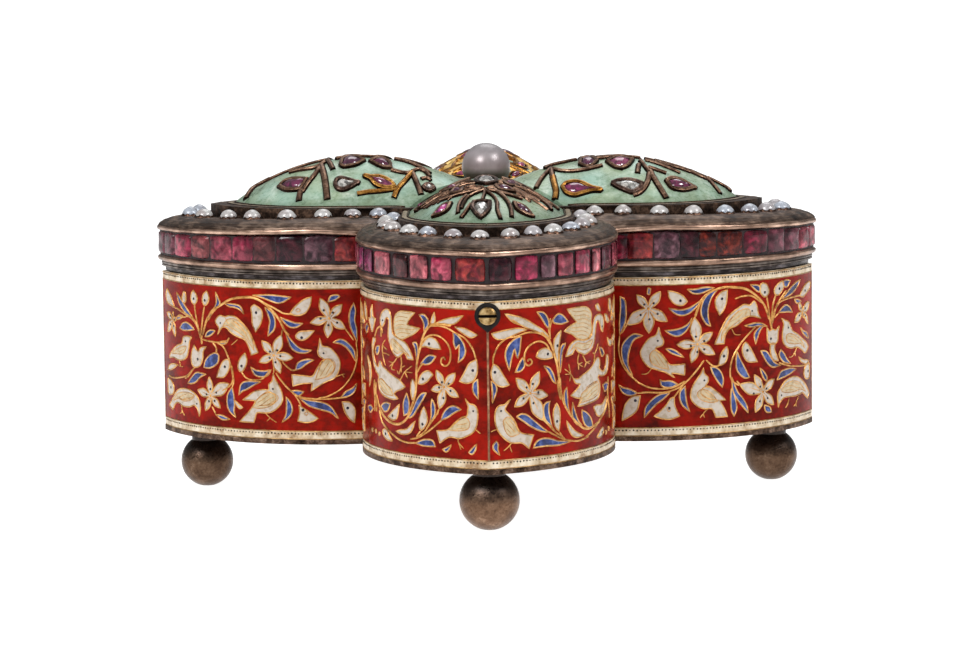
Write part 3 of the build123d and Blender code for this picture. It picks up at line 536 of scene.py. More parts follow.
R = {
    "white": [
        "1.5,42.4 3.5,42.3 5.4,41.6 7.4,40! 5.6,39.6 3.6,40.3 1.6,41.2",
        "14.6,35.9! 13.4,35.4 12,34.9 11.3,33.8 10.4,32.8 8.4,32 6.4,30.9 4,29.8 2.6,28.6! 4,27.6 5,27.6! 6.4,28.4 8.6,29.2 11,29.2 13,29.8 14.2,31 14.3,33 13.9,34.6",
        "2,18.6! 3.5,20 5,21.2 7,22.3 9,23 11.5,23 13.5,22.4 15,21.3 16,20 16,18.6 15.8,17.2! 15.2,18.2 13.6,19 10,18.9 7.5,19 6,19.2 4.6,18.4 3,17.6!",
        "2.2,25.6! 4,26 5.6,26.2 7.8,27! 6.8,25.9 5,25.3 3.4,24.9",
        "2,25! 4,24.8 5.2,23.6 4.8,22.4 3.4,21.8 2,22.2",
        "15.5,34.4! 16.6,33.6 17.6,33.9 18.6,33.6 19.4,34.4! 19.3,32.8 19.2,31.6 18.3,30.8 16.8,30.7 16,31.4 15.9,32.8",
        "17,30.8 17,29.4 16,27.6 15.8,27! 17.4,27.4 18.3,29 18.2,30.8",
        "14.2,43.7 15.8,43.3 17,42.2 16.8,41.2 15.6,40.9 14.4,41.8 13.8,42.8",
        "18.7,42 19.4,43.4 20.8,43.8 21.4,43 21.2,41.8 20.2,40.9 19.2,41.1",
        "21.2,36.5! 21.9,37.6 22.2,39 23,40.2 24.2,39.4 25.6,39.7 27.2,39 29.4,37.6 31,35.4 32,33.4 32.8,31.8! 30.6,31.8! 30.4,33.4 29.4,34.8 27.6,35.4 26,36.4 24.6,37.1 23,37",
        "29.8,43! 31.4,42.5 32.6,41 32.5,39.6 31.6,37.8! 30.6,39 30,40.6",
        "38.8,41! 39.8,42.2 41.4,43 42.9,43.3! 42.6,41.8 41.4,40.5 39.8,40.2",
        "25.6,31.6 26.2,30.4 25.8,28.8 24.6,27.6 22.2,27.4! 23,28.8 24,30.4 25,31.6",
        "30,31.2! 31,30.2 31.6,29 31.8,27.4 30.4,27.8 29.8,29.2 29.7,30.4",
        "35.4,27! 35.1,25.8 34.3,25 34.4,23.9 35,23.2 34,23 32,21.6 30.3,20! 31.6,19.9 31,18.9 30.4,17.8 29.9,16.5! 32.6,16.5! 33,17.6 33.6,18.4 35,18.4 36.6,19 38,20.4 38.2,22 37.6,23.6 36.6,25 35.9,25.9",
        "44.9,35.8! 45.5,34.2 46.8,33.6 48,32.2 48.7,30.6 48.2,29 47,27.6 45.4,27 43.4,26.3 41.6,25.2! 42.2,26.2 39.5,25.7! 39.4,28! 41,27.9 42.6,28 43.4,29 44.3,30.2 45.6,31.4 44.2,32 43.9,33 44.4,34",
        "41.7,21! 41.6,19.4 40.6,17.2! 42.4,16.6 44.2,16.7 46,17.3! 44.8,18.2 43.4,19.6 42.4,21",
        "48.8,21.6! 50.4,21.4 51.8,20 52.4,18.2 52.6,16.4! 50.8,17.4 49.4,18.8",
    ],
    "wing": [
        "24,37.2! 26,36.8 28.4,35.6 30.2,34.2 31.4,32.4! 31,34.4 29.6,36.4 27.6,38 25.4,38.8 24.2,38.4",
        "42.8,27! 44.6,27.4 46.4,28.4 46.8,29.8 46,31 44.6,30.3 43.4,28.8",
        "32.2,19.8! 34,19.7 36,20.4 36.8,21.6 36,22.5 34.6,22.3 33.2,21.2",
        "4.8,28.6! 7.2,29.8 10,30 12.6,30.6 13,32 11.6,32.4 9,31.6 6.6,30.4",
        "4.4,19.2! 7,20 10,19.8 13,20 14.8,20.6 13,21.8 10.4,22.2 7.4,21.4",
    ],
    "blue": [
        "11.4,43.6! 13,43.9 14.4,43.6! 13.8,42.6 12.6,42.4",
        "21.2,42.8! 22,43.5 24,43.7! 22.8,42.6 21.6,42",
        "21.4,26! 20.4,25.3 19.4,24 19.5,23! 20.3,23.6 20.9,24.6",
        "18,16.4! 18.6,17.6 20.2,18.1! 20,17 19.2,16.4",
        "7,43.4! 9,43 11,42.2 13,41 14.6,40! 12,40.4 9.8,41.2 8.2,42.2",
        "6.6,38.7! 8,39.3 9.8,39.5! 8.6,38.5",
        "10.6,36.8! 11.6,38 13,38.6 14.4,38.2 15.6,37.2! 13.8,37.1 12,37",
        "19.2,34.6! 21,35.4 23,35.6 25.6,35.2! 23.6,34.8 21.4,34.9",
        "20.4,34.8! 21.6,34.7 22.8,33.6 23,32.6 22.6,31.2! 22,32.6 21.4,33.8",
        "24.3,24.3! 25,25.6 26,27.2 26.8,28.6 27.5,30! 27.8,28 27.6,26.2 26.6,24.9 25.4,24.2",
        "24.7,16.9! 25,18.4 26,20 27.4,21.6 28.8,24.6! 28.6,21.8 27.6,20 26.4,18.6",
        "28.3,16.4! 27.6,18 27.9,20 28.8,22.6! 29.1,21 29.1,19 28.9,17.6",
        "32,43.3! 33.6,42.8 35,41.6 35.8,39.8 35.8,38 34.8,36.2 33.7,35.6! 34.2,37.4 34.2,39.4 33.4,41.6",
        "32.8,43.6! 35,43.8 37,43.5 38.8,43.5! 37.6,42.6 36,42.5 34.4,43",
        "35.6,41.3! 37,40.4 38.6,39.6 40.4,39.3 42.8,39.7! 41.6,38.6 40.2,38.1 38.6,38.4 37,39.6",
        "37.8,37.6! 38.6,36.4 40,35.6 41.6,35.2 43.6,35.1! 42.4,34.2 41,33.8 39.6,34.4 38.4,35.8",
        "39.6,29.4! 41,30.6 42.4,31.3 43.5,31.3! 42.4,30.4 41,29.8",
        "46.7,42.6! 46.5,43.8 47.1,44! 47.2,42.8",
        "52.8,42.3! 51.8,41.4 51.6,39 51.8,36.8 53,34.2! 53,37 52.8,39.6",
        "48.2,34.1! 50,34.5 51.6,33.4 52.6,31.6 52.4,29 51.4,27 50.3,25.6! 51.2,28 51.2,30 50.6,32.2 49.8,33.4",
        "31.1,22.7! 30.8,24.2 31.4,26 32.6,27 33.8,27.1! 33.2,25.6 32.2,24",
        "14.9,29.3! 13.8,28.4 12.6,27 11.3,26! 13.6,26.4 15,27.4 15.5,28.4",
        "21.2,29.6! 19.6,29.4 18.2,28 17,26.8 15,26! 17.4,25.8 19,26.6 20.2,28",
        "9,24.6! 11,25 13,25 15,24.6 16.2,23! 13.6,23.4 11.2,23.9",
        "41,23.9! 42.6,24.6 44.2,24.6 44.7,25! 44.4,23.6 43.2,23.2 42,23.3",
        "39.4,23.4! 40.4,22.4 40.6,21 40,19.4 38.4,18! 38.9,19.4 39.2,21",
        "42.6,22.2! 44.8,21.8 46.6,20.6 47.8,19 48,17! 46.8,18.4 45.4,19.8 43.8,21",
        "49.4,22.2! 51,23 52.6,23.4 53.3,24! 52.6,22.4 51.4,21.7 50.2,21.7",
        "2.4,30.4! 3.6,31.8 5.6,32.4 7,33.2! 5.8,31.9 4,30.9",
    ],
    "stem": [
        "18,34 17.8,36 16.8,38 15,39.4 12,39.9 9.5,40 7.4,40.1",
        "17.8,35 16.4,38.6 14.4,40.6 13,41.6",
        "18,34.5 17.6,38.6 16.6,41", "18.2,34.5 18.8,38 19.4,41",
        "20.6,39.6 23.6,41.3 26,41.4 28,41",
        "22.5,34.9 25,33 27,31 28.6,28.6 29.2,26 28.8,24 27,22.8",
        "17.2,36.2 15.6,37.1",
        "15.6,26.6 12,25.6 9,25.2 5,24.9 3,25.3",
        "31.6,27.4 33,27.2 34.8,28.6",
        "35.2,28.6 37,26.4 39,24.4 41,23 44,22.2 47.4,22.3 49.4,22.1",
        "39.4,24.4 42.4,23.1 46,23.1 48.6,24 50.6,25.6 52.4,28 53.2,31 53,34",
        "39.6,24 40.8,22.4 41.9,21",
        "26.8,23 27.6,23.8", "51.5,36.4 52.6,34.6",
    ],
    "thick": [
        "18.6,36 20,39 22,41 25,42.8 28,43.4 31,43.5 34,42.6 35.8,41 36.6,39.2 37.2,37.6",
        "17.9,33.8 18,34.6 18.3,35.6",
    ],
    "fine": [
        "8.8,29.2 9.6,28.2 10.8,27.4 12,27.4", "9.6,28.2 9.4,27.4",
        "8,18.6 9.2,17.2 9,16.6", "9.2,17.2 10.2,16.7", "12,18.6 12.6,17.4 13.4,16.8",
        "28.8,34.8 28,33.6 26.6,33.4", "27,38.6 29,36.8 30.6,34.4",
        "31.8,20 33.6,20.4 35.4,21 36,22 35.4,22.9 34,22.9", "34.4,18.4 35.4,17.5 35.2,16.6", "35.4,17.5 36.2,16.6",
        "43.2,28.8 44.6,30.4 46,31 46.8,29.8 46.4,28.4", "46.4,27.2 47.4,26.2 48.6,26.1",
        "42.4,18.6 42.8,18.2 43.2,18.6 42.8,19 42.4,18.6",
    ],
    "dots": "4.6,40.8 18.2,31.9 20,41.8 31.1,41.2 40.3,41.2 24.9,30 2.8,23.4 49.8,20.6 42.8,18.9 30.7,29.2 15.4,42.2",
    "eyes": "12.2,33.7 14.8,19.6 23.6,38.2 35.2,24.4 45.1,33",
    "stars": [
        ("6,36.4", "1.8,38 8,38.6 9.7,34.6 5,35 2.8,33.5", "4.6,37 6.8,37.3 7.6,35.8 5.4,35.8 4.4,35.4"),
        ("47,39.7", "44.5,43.2 49.4,42.6 51.5,36.4 46.9,34.6 43.1,37", "45.9,40.8 47.8,40.6 48.6,38.4 46.8,37.5 45.1,38.6"),
        ("36.7,32", "33.3,34.3 37.3,37.6 41.1,32.1 38,28.2 32.8,29.7", "35.2,32.6 37,33.6 38.1,31.7 36.7,30.4 35.2,30.9"),
        ("20.6,20.9", "17.2,23.3 23,24.7 26.8,23 22.7,16.8 17.4,17.9", "19.6,21.5 21.4,22.1 23.2,20.8 21.5,19 19.3,19.5"),
    ],
}
FL = {
    "white": [
        "5.2,43.3! 6.5,43 8.6,42.6 10.4,42 12,41.2! 10,41.5 8,41.4 6.6,41.9",
        "11.9,43.6! 12.4,42.8 12.8,41.6 12.6,41! 12,41.2 11.7,42.2",
        "2.1,39.6! 3.4,40.2 5,40.8 7,41! 6,40.2 4.6,39.4 3.4,39",
        "10.4,36.4! 11,37.6 12.2,38.5 13.6,38.5 15,37.2 15.4,36.5! 14.2,36.7 12.4,36.4",
        "12.4,31.2! 13.4,31.9 14.6,31.7 15.8,30.7 16.4,29.2! 15.4,29.1 14,29.7 13.2,30.5",
        "2.4,34.8! 4,33.9 5,32.2 6.2,30.3! 4.6,30 3.2,30.5 2.4,31.8 2.2,33.4",
        "4.9,26.9! 4,26 3,25.8 2.3,24.8 2.3,23.2 2.6,21.6 3.2,20.5 4.6,19.6 6.4,19 8.2,19.2 9.4,18.8 10.9,17.8! 11.6,20.2! 9,20.6 7.4,22 5.8,23.2 4.6,23.6 4.4,24.8 4.3,25.5",
        "14.9,24.7! 15.6,23.6 16.2,22 16.1,20.4 15.6,19.9! 14.6,20.8 14,22 14.2,23.4",
        "18,30! 18.4,29 18.5,27.4 18.1,25.8! 17.4,26.6 17.1,28 17.4,29.4",
        "17.4,21.6! 18.4,20.9 20,19.8 22,19.4 23.4,19! 21.6,18.6 19.4,18.9 18.2,19.9",
        "22.2,24.5! 23.4,23.7 24.8,22.8 26.4,21.6! 24.8,21.1 23.2,21.5 22.6,22.8",
        "24.8,16.9! 26,17.9 27,18.9 28.4,18.8 28.6,17.9 27.4,17.1 26.2,16.8",
        "17.6,33.8! 18.6,35.6 20,37 22,37.6 24,38.4 24.4,39.6 24.6,41.6 25.2,42.8 26.2,43.2 27.6,42.8 28.8,41.8 29.1,40.6 28.4,39.4 27.2,40.4 26.8,41.2 26,41.5 25.5,40.8 25.7,39.4 25.8,37.6 25.2,36.2 24,34.6 22.4,33.9 21.2,34.6 20.4,35 19.6,34.2 19.4,33.8!",
        "20.2,28.2! 21.6,27.5 23,27.1 24,26.4! 22.6,25.6! 24,25.3 26.4,25.4 28.4,25.8 29.8,26.6 30.4,28.2 30.2,29.4 31,29.9 32.4,31.2 33.2,33 33.4,35 33,36.6 32,37! 31.5,36.4 32.3,35.6 32.8,34.4 32.2,32.6 31.4,31.6 30.3,31.2 29.8,32.3 29,32.4 28.4,31.6 26.8,31 25,30.3 23,29.7 22,29.4",
        "33.2,43.4! 34.2,42 34.2,40.8 35.4,40.6! 34.6,39.2 33.6,38 32.8,38.4 32,39.8 31.4,40.8! 32.8,41 33,42",
        "37,40! 38.2,40.6 38.8,42 38.6,43.6! 37.4,42.6 36.9,41.4",
        "36.8,32.8! 35.4,31.9 34.5,30.6 34.3,28.8 35.6,26.6! 35.2,28.8 35.5,30.4 36.2,31.6",
        "29.9,17.7 30.3,18.1 30.7,17.7 30.3,17.3", "31.6,18 32,18.4 32.4,18 32,17.6", "33.6,18 34,18.4 34.4,18 34,17.6",
    ],
    "wing": [
        "3.9,22.2! 4.6,23.2 6,22.8 7.6,21.6 9,20.6! 6.6,20.5 4.4,21",
        "17,43.2! 19,43.3 21.4,43.2 23,42.4 23.6,41 23.6,39.2 22.8,38 21,37.6 19.2,38.2 17.4,38.9 15.6,40.2! 17.6,40.4 19.4,40.7! 18.4,42",
        "24.2,26! 26.4,26 28.4,26.5 29.6,27.6 29.6,28.8 28.4,28.9 26.6,28 25,27.3",
        "18.6,34.4! 20,35.4 22,36.6 23.8,37.4 24.8,37 24.2,35.4 22.6,34.6 21,35.2",
    ],
    "blue": [
        "7.5,40.1! 6.4,39.4 5.2,38 4.7,36.4 5.2,35 6.4,34! 6.2,35.6 6.1,37.5! 6.9,36.6! 7.4,37.8 7.4,39",
        "15.9,42.9! 14.6,43 13.6,42.2 13.4,41 14.6,39.7! 14.6,41 15,41.9",
        "17.8,37.2! 16.8,37.3 16.3,36.4 16.3,35 16.7,33.6! 16.9,35 17.2,36.2",
        "11.6,34.9! 13,35.1 14.2,34.6 15.6,33.2! 14.2,33.1 12.8,33.6",
        "2.2,30.9! 3.1,30.2 3.3,29 3,28 2.1,27! 2.1,29",
        "5.8,24.8! 7.4,25.4 8.8,25 10,23.8 10.6,22.3! 9,23 7.4,24",
        "12.8,26.4! 12.1,25.4 11.9,24.2 12.2,23 13.3,21.8! 13,23.2 13,25",
        "14.2,27.5! 15.4,27.3 16.8,26 18,24 19.4,22! 18,22.6 16.6,24.2 15.2,26",
        "19.8,27! 20.4,26 20.9,24.6 20.7,22.4! 19.4,23 19,24.4 19.2,25.8",
        "12,17! 12.6,18.1 14,18.3 15.6,18 17.4,17.2! 15.4,16.9 13.6,16.9",
        "2.6,18.1! 3.4,17.4 4.3,16.4! 3.6,16 2.8,16.9",
        "8.2,17.6! 9.4,17 10.3,16.6! 9.4,16.1 8.7,16.7",
        "25.4,24.3! 27,24.4 28.4,24 29.2,23.4! 28,22.5 26.8,22.6 26,23.2",
        "29.6,35.5! 31,35.3 31.6,34.4! 31,33.6 30,34.2",
        "33.4,22.4! 35,22.9 37,22.4! 35.4,21.4",
        "35.6,38.8! 37,39.2 38.4,38.2! 37,37.4",
    ],
    "stem": [
        "13.4,40.8 11,41 9,40.7 7,39.8 4.8,38.8 3.2,36.8 2.5,34.8",
        "15.4,36.8 14.8,38 13,39 11,39 9.2,38 8.2,36.4 8.2,34.6 8.8,33.4 9.8,33.2 10.4,33.8 10.2,34.7 9.6,34.8 9.4,34.3",
        "16.6,31.4 15.6,32.8 14.6,33.4",
        "30.2,22.4 28.8,20.2 26,18.8 23,17.6 20,17.1 17,17.3",
        "18.8,17.9 16.6,18.4 14,19.8 12,21.2 10.4,22.4",
        "17.4,18.2 15,19.6 13.2,21.6 11.8,23.2 11,24.6",
        "14.4,20.2 13.4,21.6 13.2,22.2", "17,18.6 15.9,19.8",
        "31.5,22 31.4,24 31.8,26 31.6,28", "32.5,22 32.3,24.4 32.6,26.6 32.4,28.4",
        "11.3,24.2 11.4,23.4", "28.9,39.6 28.8,38.6 28.8,37.4", "28.9,39.4 28.4,38.8 28.2,38.2",
        "32,37 31.2,38.2 30.4,39 29,39.6",
    ],
    "thick": [
        "31.5,25.5 29.6,22.6 27,21 24,20.4 21.6,20.8 19.6,22.2 18.6,24 17.4,26.5 16.9,29.4 16.8,32 16.4,34.4 15.6,36.6 15,38.4 14,40 12.4,41.2 10,41.4 8,41.1",
    ],
    "fine": [
        "2.7,21 2,20.4 1.7,20.2", "6.6,19.1 6.5,18.2 5.4,17.1", "6.5,18.2 6,16.8",
        "21.4,34.2 21.2,32.8 21.4,32 20.2,32.4", "21.4,32 21.3,31", "21.4,32 22.1,30.6 22.7,31.2",
        "22.8,33.7 24,32.7 25.8,32.8", "24,32.7 25.4,31.8", "24,32.7 24.7,31.4 23.4,31.2",
        "22,29.3 21.4,29.8 20.2,31.2 18,32.6", "20.2,31.2 18,31.2", "20.2,31.2 19.4,30",
        "27,37 28.2,35.8 28.2,34.2 27.6,32.6 27,31.8", "28.2,35.8 26.4,35", "28.2,34.2 26.6,34.2 25.4,34",
        "25,27.3 27,28.2 29,28.9 30.2,28.4",
    ],
    "dots": "13.3,37.3 15,30.2 3.2,32.6 15.3,21.2 24.6,22 27.4,18",
    "eyes": "3.2,24.6 27.9,40.8",
    "stars": [
        ("9.7,29", "7.1,31.9 11.6,32.2 12.9,28.2 10.9,24.6 6.4,27.2", "8.6,29.7 10.2,29.9 10.9,28.8 9.9,26.8 8.2,28.3"),
    ],
}
FR = {
    "white": [
        "3.7,43.6! 5.5,43.2 8,42.4 10.5,41 12.8,39.6 14.4,38! 12.8,38.7 10.6,39.8 8.4,40.6 7.2,41.2 5.6,41.8 4.6,42.6",
        "0.8,39.9! 2.4,40.2 4.6,40.5 6.8,40.6 8.6,40.2! 7,39.8 5.2,39.2 3.6,38.6! 2,38.7 1.2,39.3",
        "10.7,34.7! 11.4,35.8 12.6,36.2 13.8,36 14.8,35 14.9,34.2! 13.4,34 11.8,34.2",
        "17.2,39.3! 17,38 16.6,36.2 16.4,34 16.2,33! 15.6,34.6 15.2,36.2 15.4,37.6 16.2,38.6",
        "1.1,33.9! 2.1,33.3 3.2,31.6 4.5,29.6! 3,29.3 1.6,29.9 0.8,31 0.6,32.4",
        "4.7,26.8! 3.4,25.8 2.4,25.7 1.6,25 1.3,23.6 1.5,21.8 2.2,20.3 3.4,19 4.6,18.2 6,18 7.2,17.9 8.8,16.7! 9.9,19.3! 7.4,19.8 6.4,20.6 5.6,22.4 4.4,23.8 3.8,24.4 3.5,25",
        "15.9,25! 16.6,23.8 16.8,22 16.6,20.4 16.4,19.4! 15.4,20.4 15,21.8 15,23.6",
        "18.7,21.2! 19.6,20.3 21,19.1 22.8,18.2 24.2,17.7! 22.2,17.5 20.6,17.9 19.6,18.9 19,20",
        "28.2,22.8! 29.6,23.1 31.4,22.9 33,23.1 35,24.2! 34.6,22.6 33.4,21.4 31.6,20.7 29.8,21",
        "29.6,16.6! 30.8,17.4 32,18.1 33,18.1 33.1,17.2 32,16.5 30.8,16.3",
        "18.6,34! 19.4,35.6 20.6,36.6 22.4,37 24.6,36.7 26.8,36.9 27.9,38 28.2,39.4 29,40.8 30.4,41.2 32,41.1 33.2,40.4 33.6,39.2 33,37.5! 32.2,38 31.6,39 31,39.8 30.2,40 29.6,39.4 29.2,38 28.8,36.4 28,35 26.6,34.2 24.8,33.8 23.6,34.2 22.4,34.6 21.6,35.3 20.6,34.3!",
        "20.8,29.4! 22.4,29.2 24,29.8 26,30.4 27.6,31.1 29.2,32.2 30.4,32.6 31.2,31.9 31.2,31 30.8,30.6! 32,29.8 33.4,29.5 34.4,30.2 35,31.4 35.2,32.4 36.2,32.5! 36.6,31.2 36.2,29.8 35.2,28.9 33.6,28.6 32,28.7 30.8,29 30.2,28.6! 31.2,27.4 31.3,26 30.8,24.8 29.6,24.2 27,23.9 24.4,23.7 22.2,23.7! 23.2,24.6 23.9,25.2! 22,25.4 19.9,26.1! 22,27.2 23.2,28.1! 21.6,28.4",
        "29.4,43! 30.2,42.2 31.8,41.8! 31.2,42.8 30.4,43.4",
        "34.2,40.9! 35.8,40.6 37.5,39.2! 36.4,39 35,39.6", "37.4,43.6! 37.2,42 38.6,41 40,41.2! 39.4,42.6 38.6,43.6",
        "36,36! 37.4,35.4 39.4,35.2 40.8,34.6! 39,34 37.4,34.3 36.4,35.2",
        "34.2,16.9 34.6,17.3 35,16.9 34.6,16.5", "36.2,17.4 36.6,17.8 37,17.4 36.6,17",
    ],
    "wing": [
        "3,22.6! 3.8,23.3 4.8,23 5.8,21.6 6.6,19.8! 4.6,19.4 3.4,20.8",
        "19,43.4! 22,43.5 25,43.4 26.6,42.8 27.6,41.6 27.4,40 27.6,38.6 26.6,37.2 24.4,36.8 22.2,37.3 20.6,38.2 18.1,39.1! 19.6,39.9 22,40.6! 20.8,41.6 19.8,42.6",
        "22.6,24.2! 25.2,24.4 28,24.6 30,25.2 30.6,26.4 30,27.6 28,27.5 25,26.7 23.4,26!",
        "19.6,34.8! 21.4,35.6 24,34.8 26.6,35 28,36.4 27,36.4 24.6,36 22,36.4",
    ],
    "blue": [
        "7.3,39! 6.2,38.8 4.8,37.9 3.8,36.4 3.7,34.8 4.5,32.4! 4.9,34.2 5.4,35.9 5.7,36.6! 6,35.4 6.4,34.7! 6.9,36.2 7.1,37.8",
        "7.5,34.8! 6.8,33.8 5.8,32! 7,32.1 7.9,33 7.9,34",
        "11,43.5! 12.4,43.4 13.4,42.6 14,41.2 14,40! 13.2,40.6 12.2,42",
        "15,41.6! 15.8,42.4 16.8,42.7 18,42.2 19.4,40.9! 17.6,40.6 16,40.8 15.2,41.1",
        "18.5,36.7! 17.4,36.4 16.9,35.2 16.7,33.4 16.9,31! 17.3,33 17.6,35 18.2,36",
        "12.6,32.7! 14,32.3 15,31 15.6,29.4 15.8,28.9! 14.8,29.6 13.8,31.2",
        "0.6,30.6! 1.5,30 1.8,28.8 1.4,27.6 0.8,26.3! 0.8,28.4",
        "6,23.2! 7,23.7 8.4,23.4 10,22.2 11.8,20.8 13.6,19.5! 11.6,19.9 9.6,20.8 7.8,22",
        "14.1,25.6! 13,25.4 12.4,24.6 12.4,23.2 13,21.8 14.6,20.4! 14.2,21.8 13.8,23.4 13.8,24.8",
        "9.8,16.7! 10.6,17.9 12,18.4 14,18.2 16.4,17.5 20,17! 16.4,16.6 12.6,16.8",
        "1.6,18.7! 0.9,18 1,17 2.2,15.9! 1.9,17.2 2,18",
        "18.8,27.9! 18.1,27 18,25.4 18.6,23.8 20,22! 19.2,24 19,26",
        "20.6,24.6! 21.1,23.4 21.8,21.8 22.6,20.6 23.6,19.8! 22,20.1 20.8,21.2 20.3,22.8",
        "23.6,22.8! 25,22.3 26.4,21.4 27.4,20.2 27.8,18.9! 26,19 24.6,19.8 23.8,21.2",
        "32.8,26.7! 34.6,27 36.6,26.6! 35,25.4 33.8,25.4",
        "31,34.6! 32.6,34.2 33.8,33! 32.4,32.6",
    ],
    "stem": [
        "14.4,36.8 13,38.5 11,39.4 8.6,39.6 6,39 4,38.8 2.2,37.4 1.2,35.4 1,34",
        "14,36 13.2,37 12,37.6 10.6,37.6 9,36.9 8.1,35.7 7.9,34.4 8.3,33.4 9.1,33.1 9.7,33.6 9.5,34.2 8.9,34.3 8.7,33.9",
        "14.2,37.8 14.2,40 14.6,41.2 15.2,41.8", "14,39 13.9,40.4", "14.2,41.2 14.4,42",
        "36.6,24 34,21.4 31,19.9 29,18.8 27,17.9 25,17.2",
        "26,17.2 22,16.8 18,17.6 15.6,18.6 13.6,19.6",
        "18,17.8 15.4,19.4 13.6,21 12,22.4", "15.4,19.4 14.4,20.6", "17.6,18 16.6,19.2",
        "37.4,19.5 36.8,22 36,24.6 36.4,28", "17.4,26 17,28 16.9,30", "17,25.6 16.4,27.6 16.2,29.6",
        "7.1,41.2 6,41.9 5.2,42.4", "12.2,22 12.6,22.8",
    ],
    "thick": [
        "31,19.6 28,19 26,18.8 24,19.2 21.4,20.9 19.6,22.6 18,24.8 17,27.4 16.6,30 16.2,32.2 15.6,34.2 14.8,36.2 13.8,38 12,39.5",
    ],
    "fine": [
        "1.6,21 0.9,20.8 0.5,20.6", "4.9,18.2 4,17.3 3.1,16.7", "4.4,17.6 4.6,17 4.9,16.3",
        "22.8,34.4 22.3,33 22.5,32.2 23.9,32.3", "22.5,32.2 24.1,31.4", "22.5,32.2 22.6,31",
        "24,33.8 24.8,32.8 25.4,32.2 27,32.3", "25.4,32.2 26.6,31.8", "25.4,32.2 24.6,31.2",
        "30.4,35.4 29.8,34.4 28.8,33.6 28,33.8", "28.8,33.6 28.6,32.4 28.2,31.8",
        "21,29.2 20,30.4 18.2,31.6", "20,30.4 18.3,30.5", "20,30.4 19.4,32.5", "20,30.4 19.7,29",
        "25,27 27,27.6 29,27.9 30.5,27.8",
    ],
    "dots": "13.6,35 1.4,32.3 15.9,21.4 32.2,17.2 16.2,36.4",
    "eyes": "2.6,24.6 32.6,38.6",
    "stars": [
        ("9.2,27.6", "6,30.8 11.4,31.7 13.5,26.8 12.2,22 5.6,25.2", "8.3,28.8 9.8,29.4 11.1,27.6 9.9,25.6 7.6,26.7"),
    ],
}


def beyond(design, limit):
    """The part of a design that lies wholly further than limit from the crease."""
    def keep(text):
        return min(p[0] for p in read_points(text)) > limit
    out = {key: [t for t in design[key] if keep(t)] for key in ("white", "wing", "blue", "stem", "thick", "fine")}
    for key in ("dots", "eyes"):
        out[key] = " ".join(w for w in design[key].split() if keep(w))
    out["stars"] = [s for s in design["stars"] if keep(s[0])]
    return out


def join(a, b):
    return {k: (a[k] + " " + b[k] if isinstance(a[k], str) else a[k] + b[k]) for k in a}


FAR_L = beyond(L, 38.6)
FL_FULL = join(FL, FAR_L)
FR_FULL = join(FR, FAR_L)

IVORY = (0.46, 0.39, 0.28, 1)
WHITE = (0.52, 0.465, 0.405, 1)
WING_EDGE = (0.46, 0.30, 0.12, 1)
WING = (0.53, 0.43, 0.27, 1)
PALE = (0.62, 0.58, 0.55, 1)
BLUE = (0.033, 0.066, 0.265, 1)
BLUE_DARK = (0.012, 0.02, 0.12, 1)


def star_loop(centre, tips, step=0.5):
    cx, cy, _ = read_points(centre)[0]
    t = [(p[0], p[1]) for p in read_points(tips)]
    t.sort(key=lambda p: atan2(p[1] - cy, p[0] - cx))
    out = []
    n = len(t)
    for i in range(n):
        (ax, ay), (bx, by) = t[i], t[(i + 1) % n]
        la, lb = hypot(ax - cx, ay - cy), hypot(bx - cx, by - cy)
        # notch between two petals, close to the centre
        mx, my = (ax - cx) / la + (bx - cx) / lb, (ay - cy) / la + (by - cy) / lb
        m = hypot(mx, my) or 1
        gap = acos(max(-1.0, min(1.0, ((ax - cx) * (bx - cx) + (ay - cy) * (by - cy)) / (la * lb))))
        # a petal is a fat leaf: its half width is a quarter of its length, less where the next one is close
        wide = min(0.22, 0.46 * sin(min(gap, pi / 2) / 2) * 1.15)
        r = max(0.16 * min(la, lb), 0.3 / max(0.3, sin(gap / 2)) * 0.5)
        nx, ny = cx + mx / m * r, cy + my / m * r
        out.append((ax, ay, True))
        for (px, py), ln, w in (((ax, ay), la, 1), ((bx, by), lb, -1)):
            ux, uy = (px - cx) / ln, (py - cy) / ln
            # towards the notch side
            vx, vy = -uy * w, ux * w
            side = []
            for f, g in ((0.84, 0.5), (0.6, 0.94), (0.4, 0.86)):
                side.append((cx + ux * ln * f + vx * wide * ln * g, cy + uy * ln * f + vy * wide * ln * g, False))
            if w == 1:
                out += side
                out.append((nx, ny, True))
            else:
                out += side[::-1]
    return out, (cx, cy), t


def feathers(b, loop, go, flip, gap=0.8, width=0.25):
    """Fine lines along a wing, clipped to its cell."""
    cx = sum(p[0] for p in loop) / len(loop)
    cy = sum(p[1] for p in loop) / len(loop)
    sxx = sum((p[0] - cx) ** 2 for p in loop)
    syy = sum((p[1] - cy) ** 2 for p in loop)
    sxy = sum((p[0] - cx) * (p[1] - cy) for p in loop)
    a = 0.5 * atan2(2 * sxy, sxx - syy)
    dx, dy = cos(a), sin(a)
    core = inset_loop(loop, 0.28, 0.35)
    span = max(hypot(p[0] - cx, p[1] - cy) for p in loop)
    q = -span
    while q < span:
        part = []
        t = -span
        while t <= span:
            w = q + 0.25 * sin(t * 0.9)
            x, y = cx + dx * t - dy * w, cy + dy * t + dx * w
            if inside(core, x, y):
                part.append((x, y))
            elif part:
                if len(part) > 3:
                    ribbon(b, part, width, 0.16, go, flip, section=[(-1, 0), (0, 1), (1, 0)], base=0.05)
                part = []
            t += 0.35
        if len(part) > 3:
            ribbon(b, part, width, 0.16, go, flip, section=[(-1, 0), (0, 1), (1, 0)], base=0.05)
        q += gap


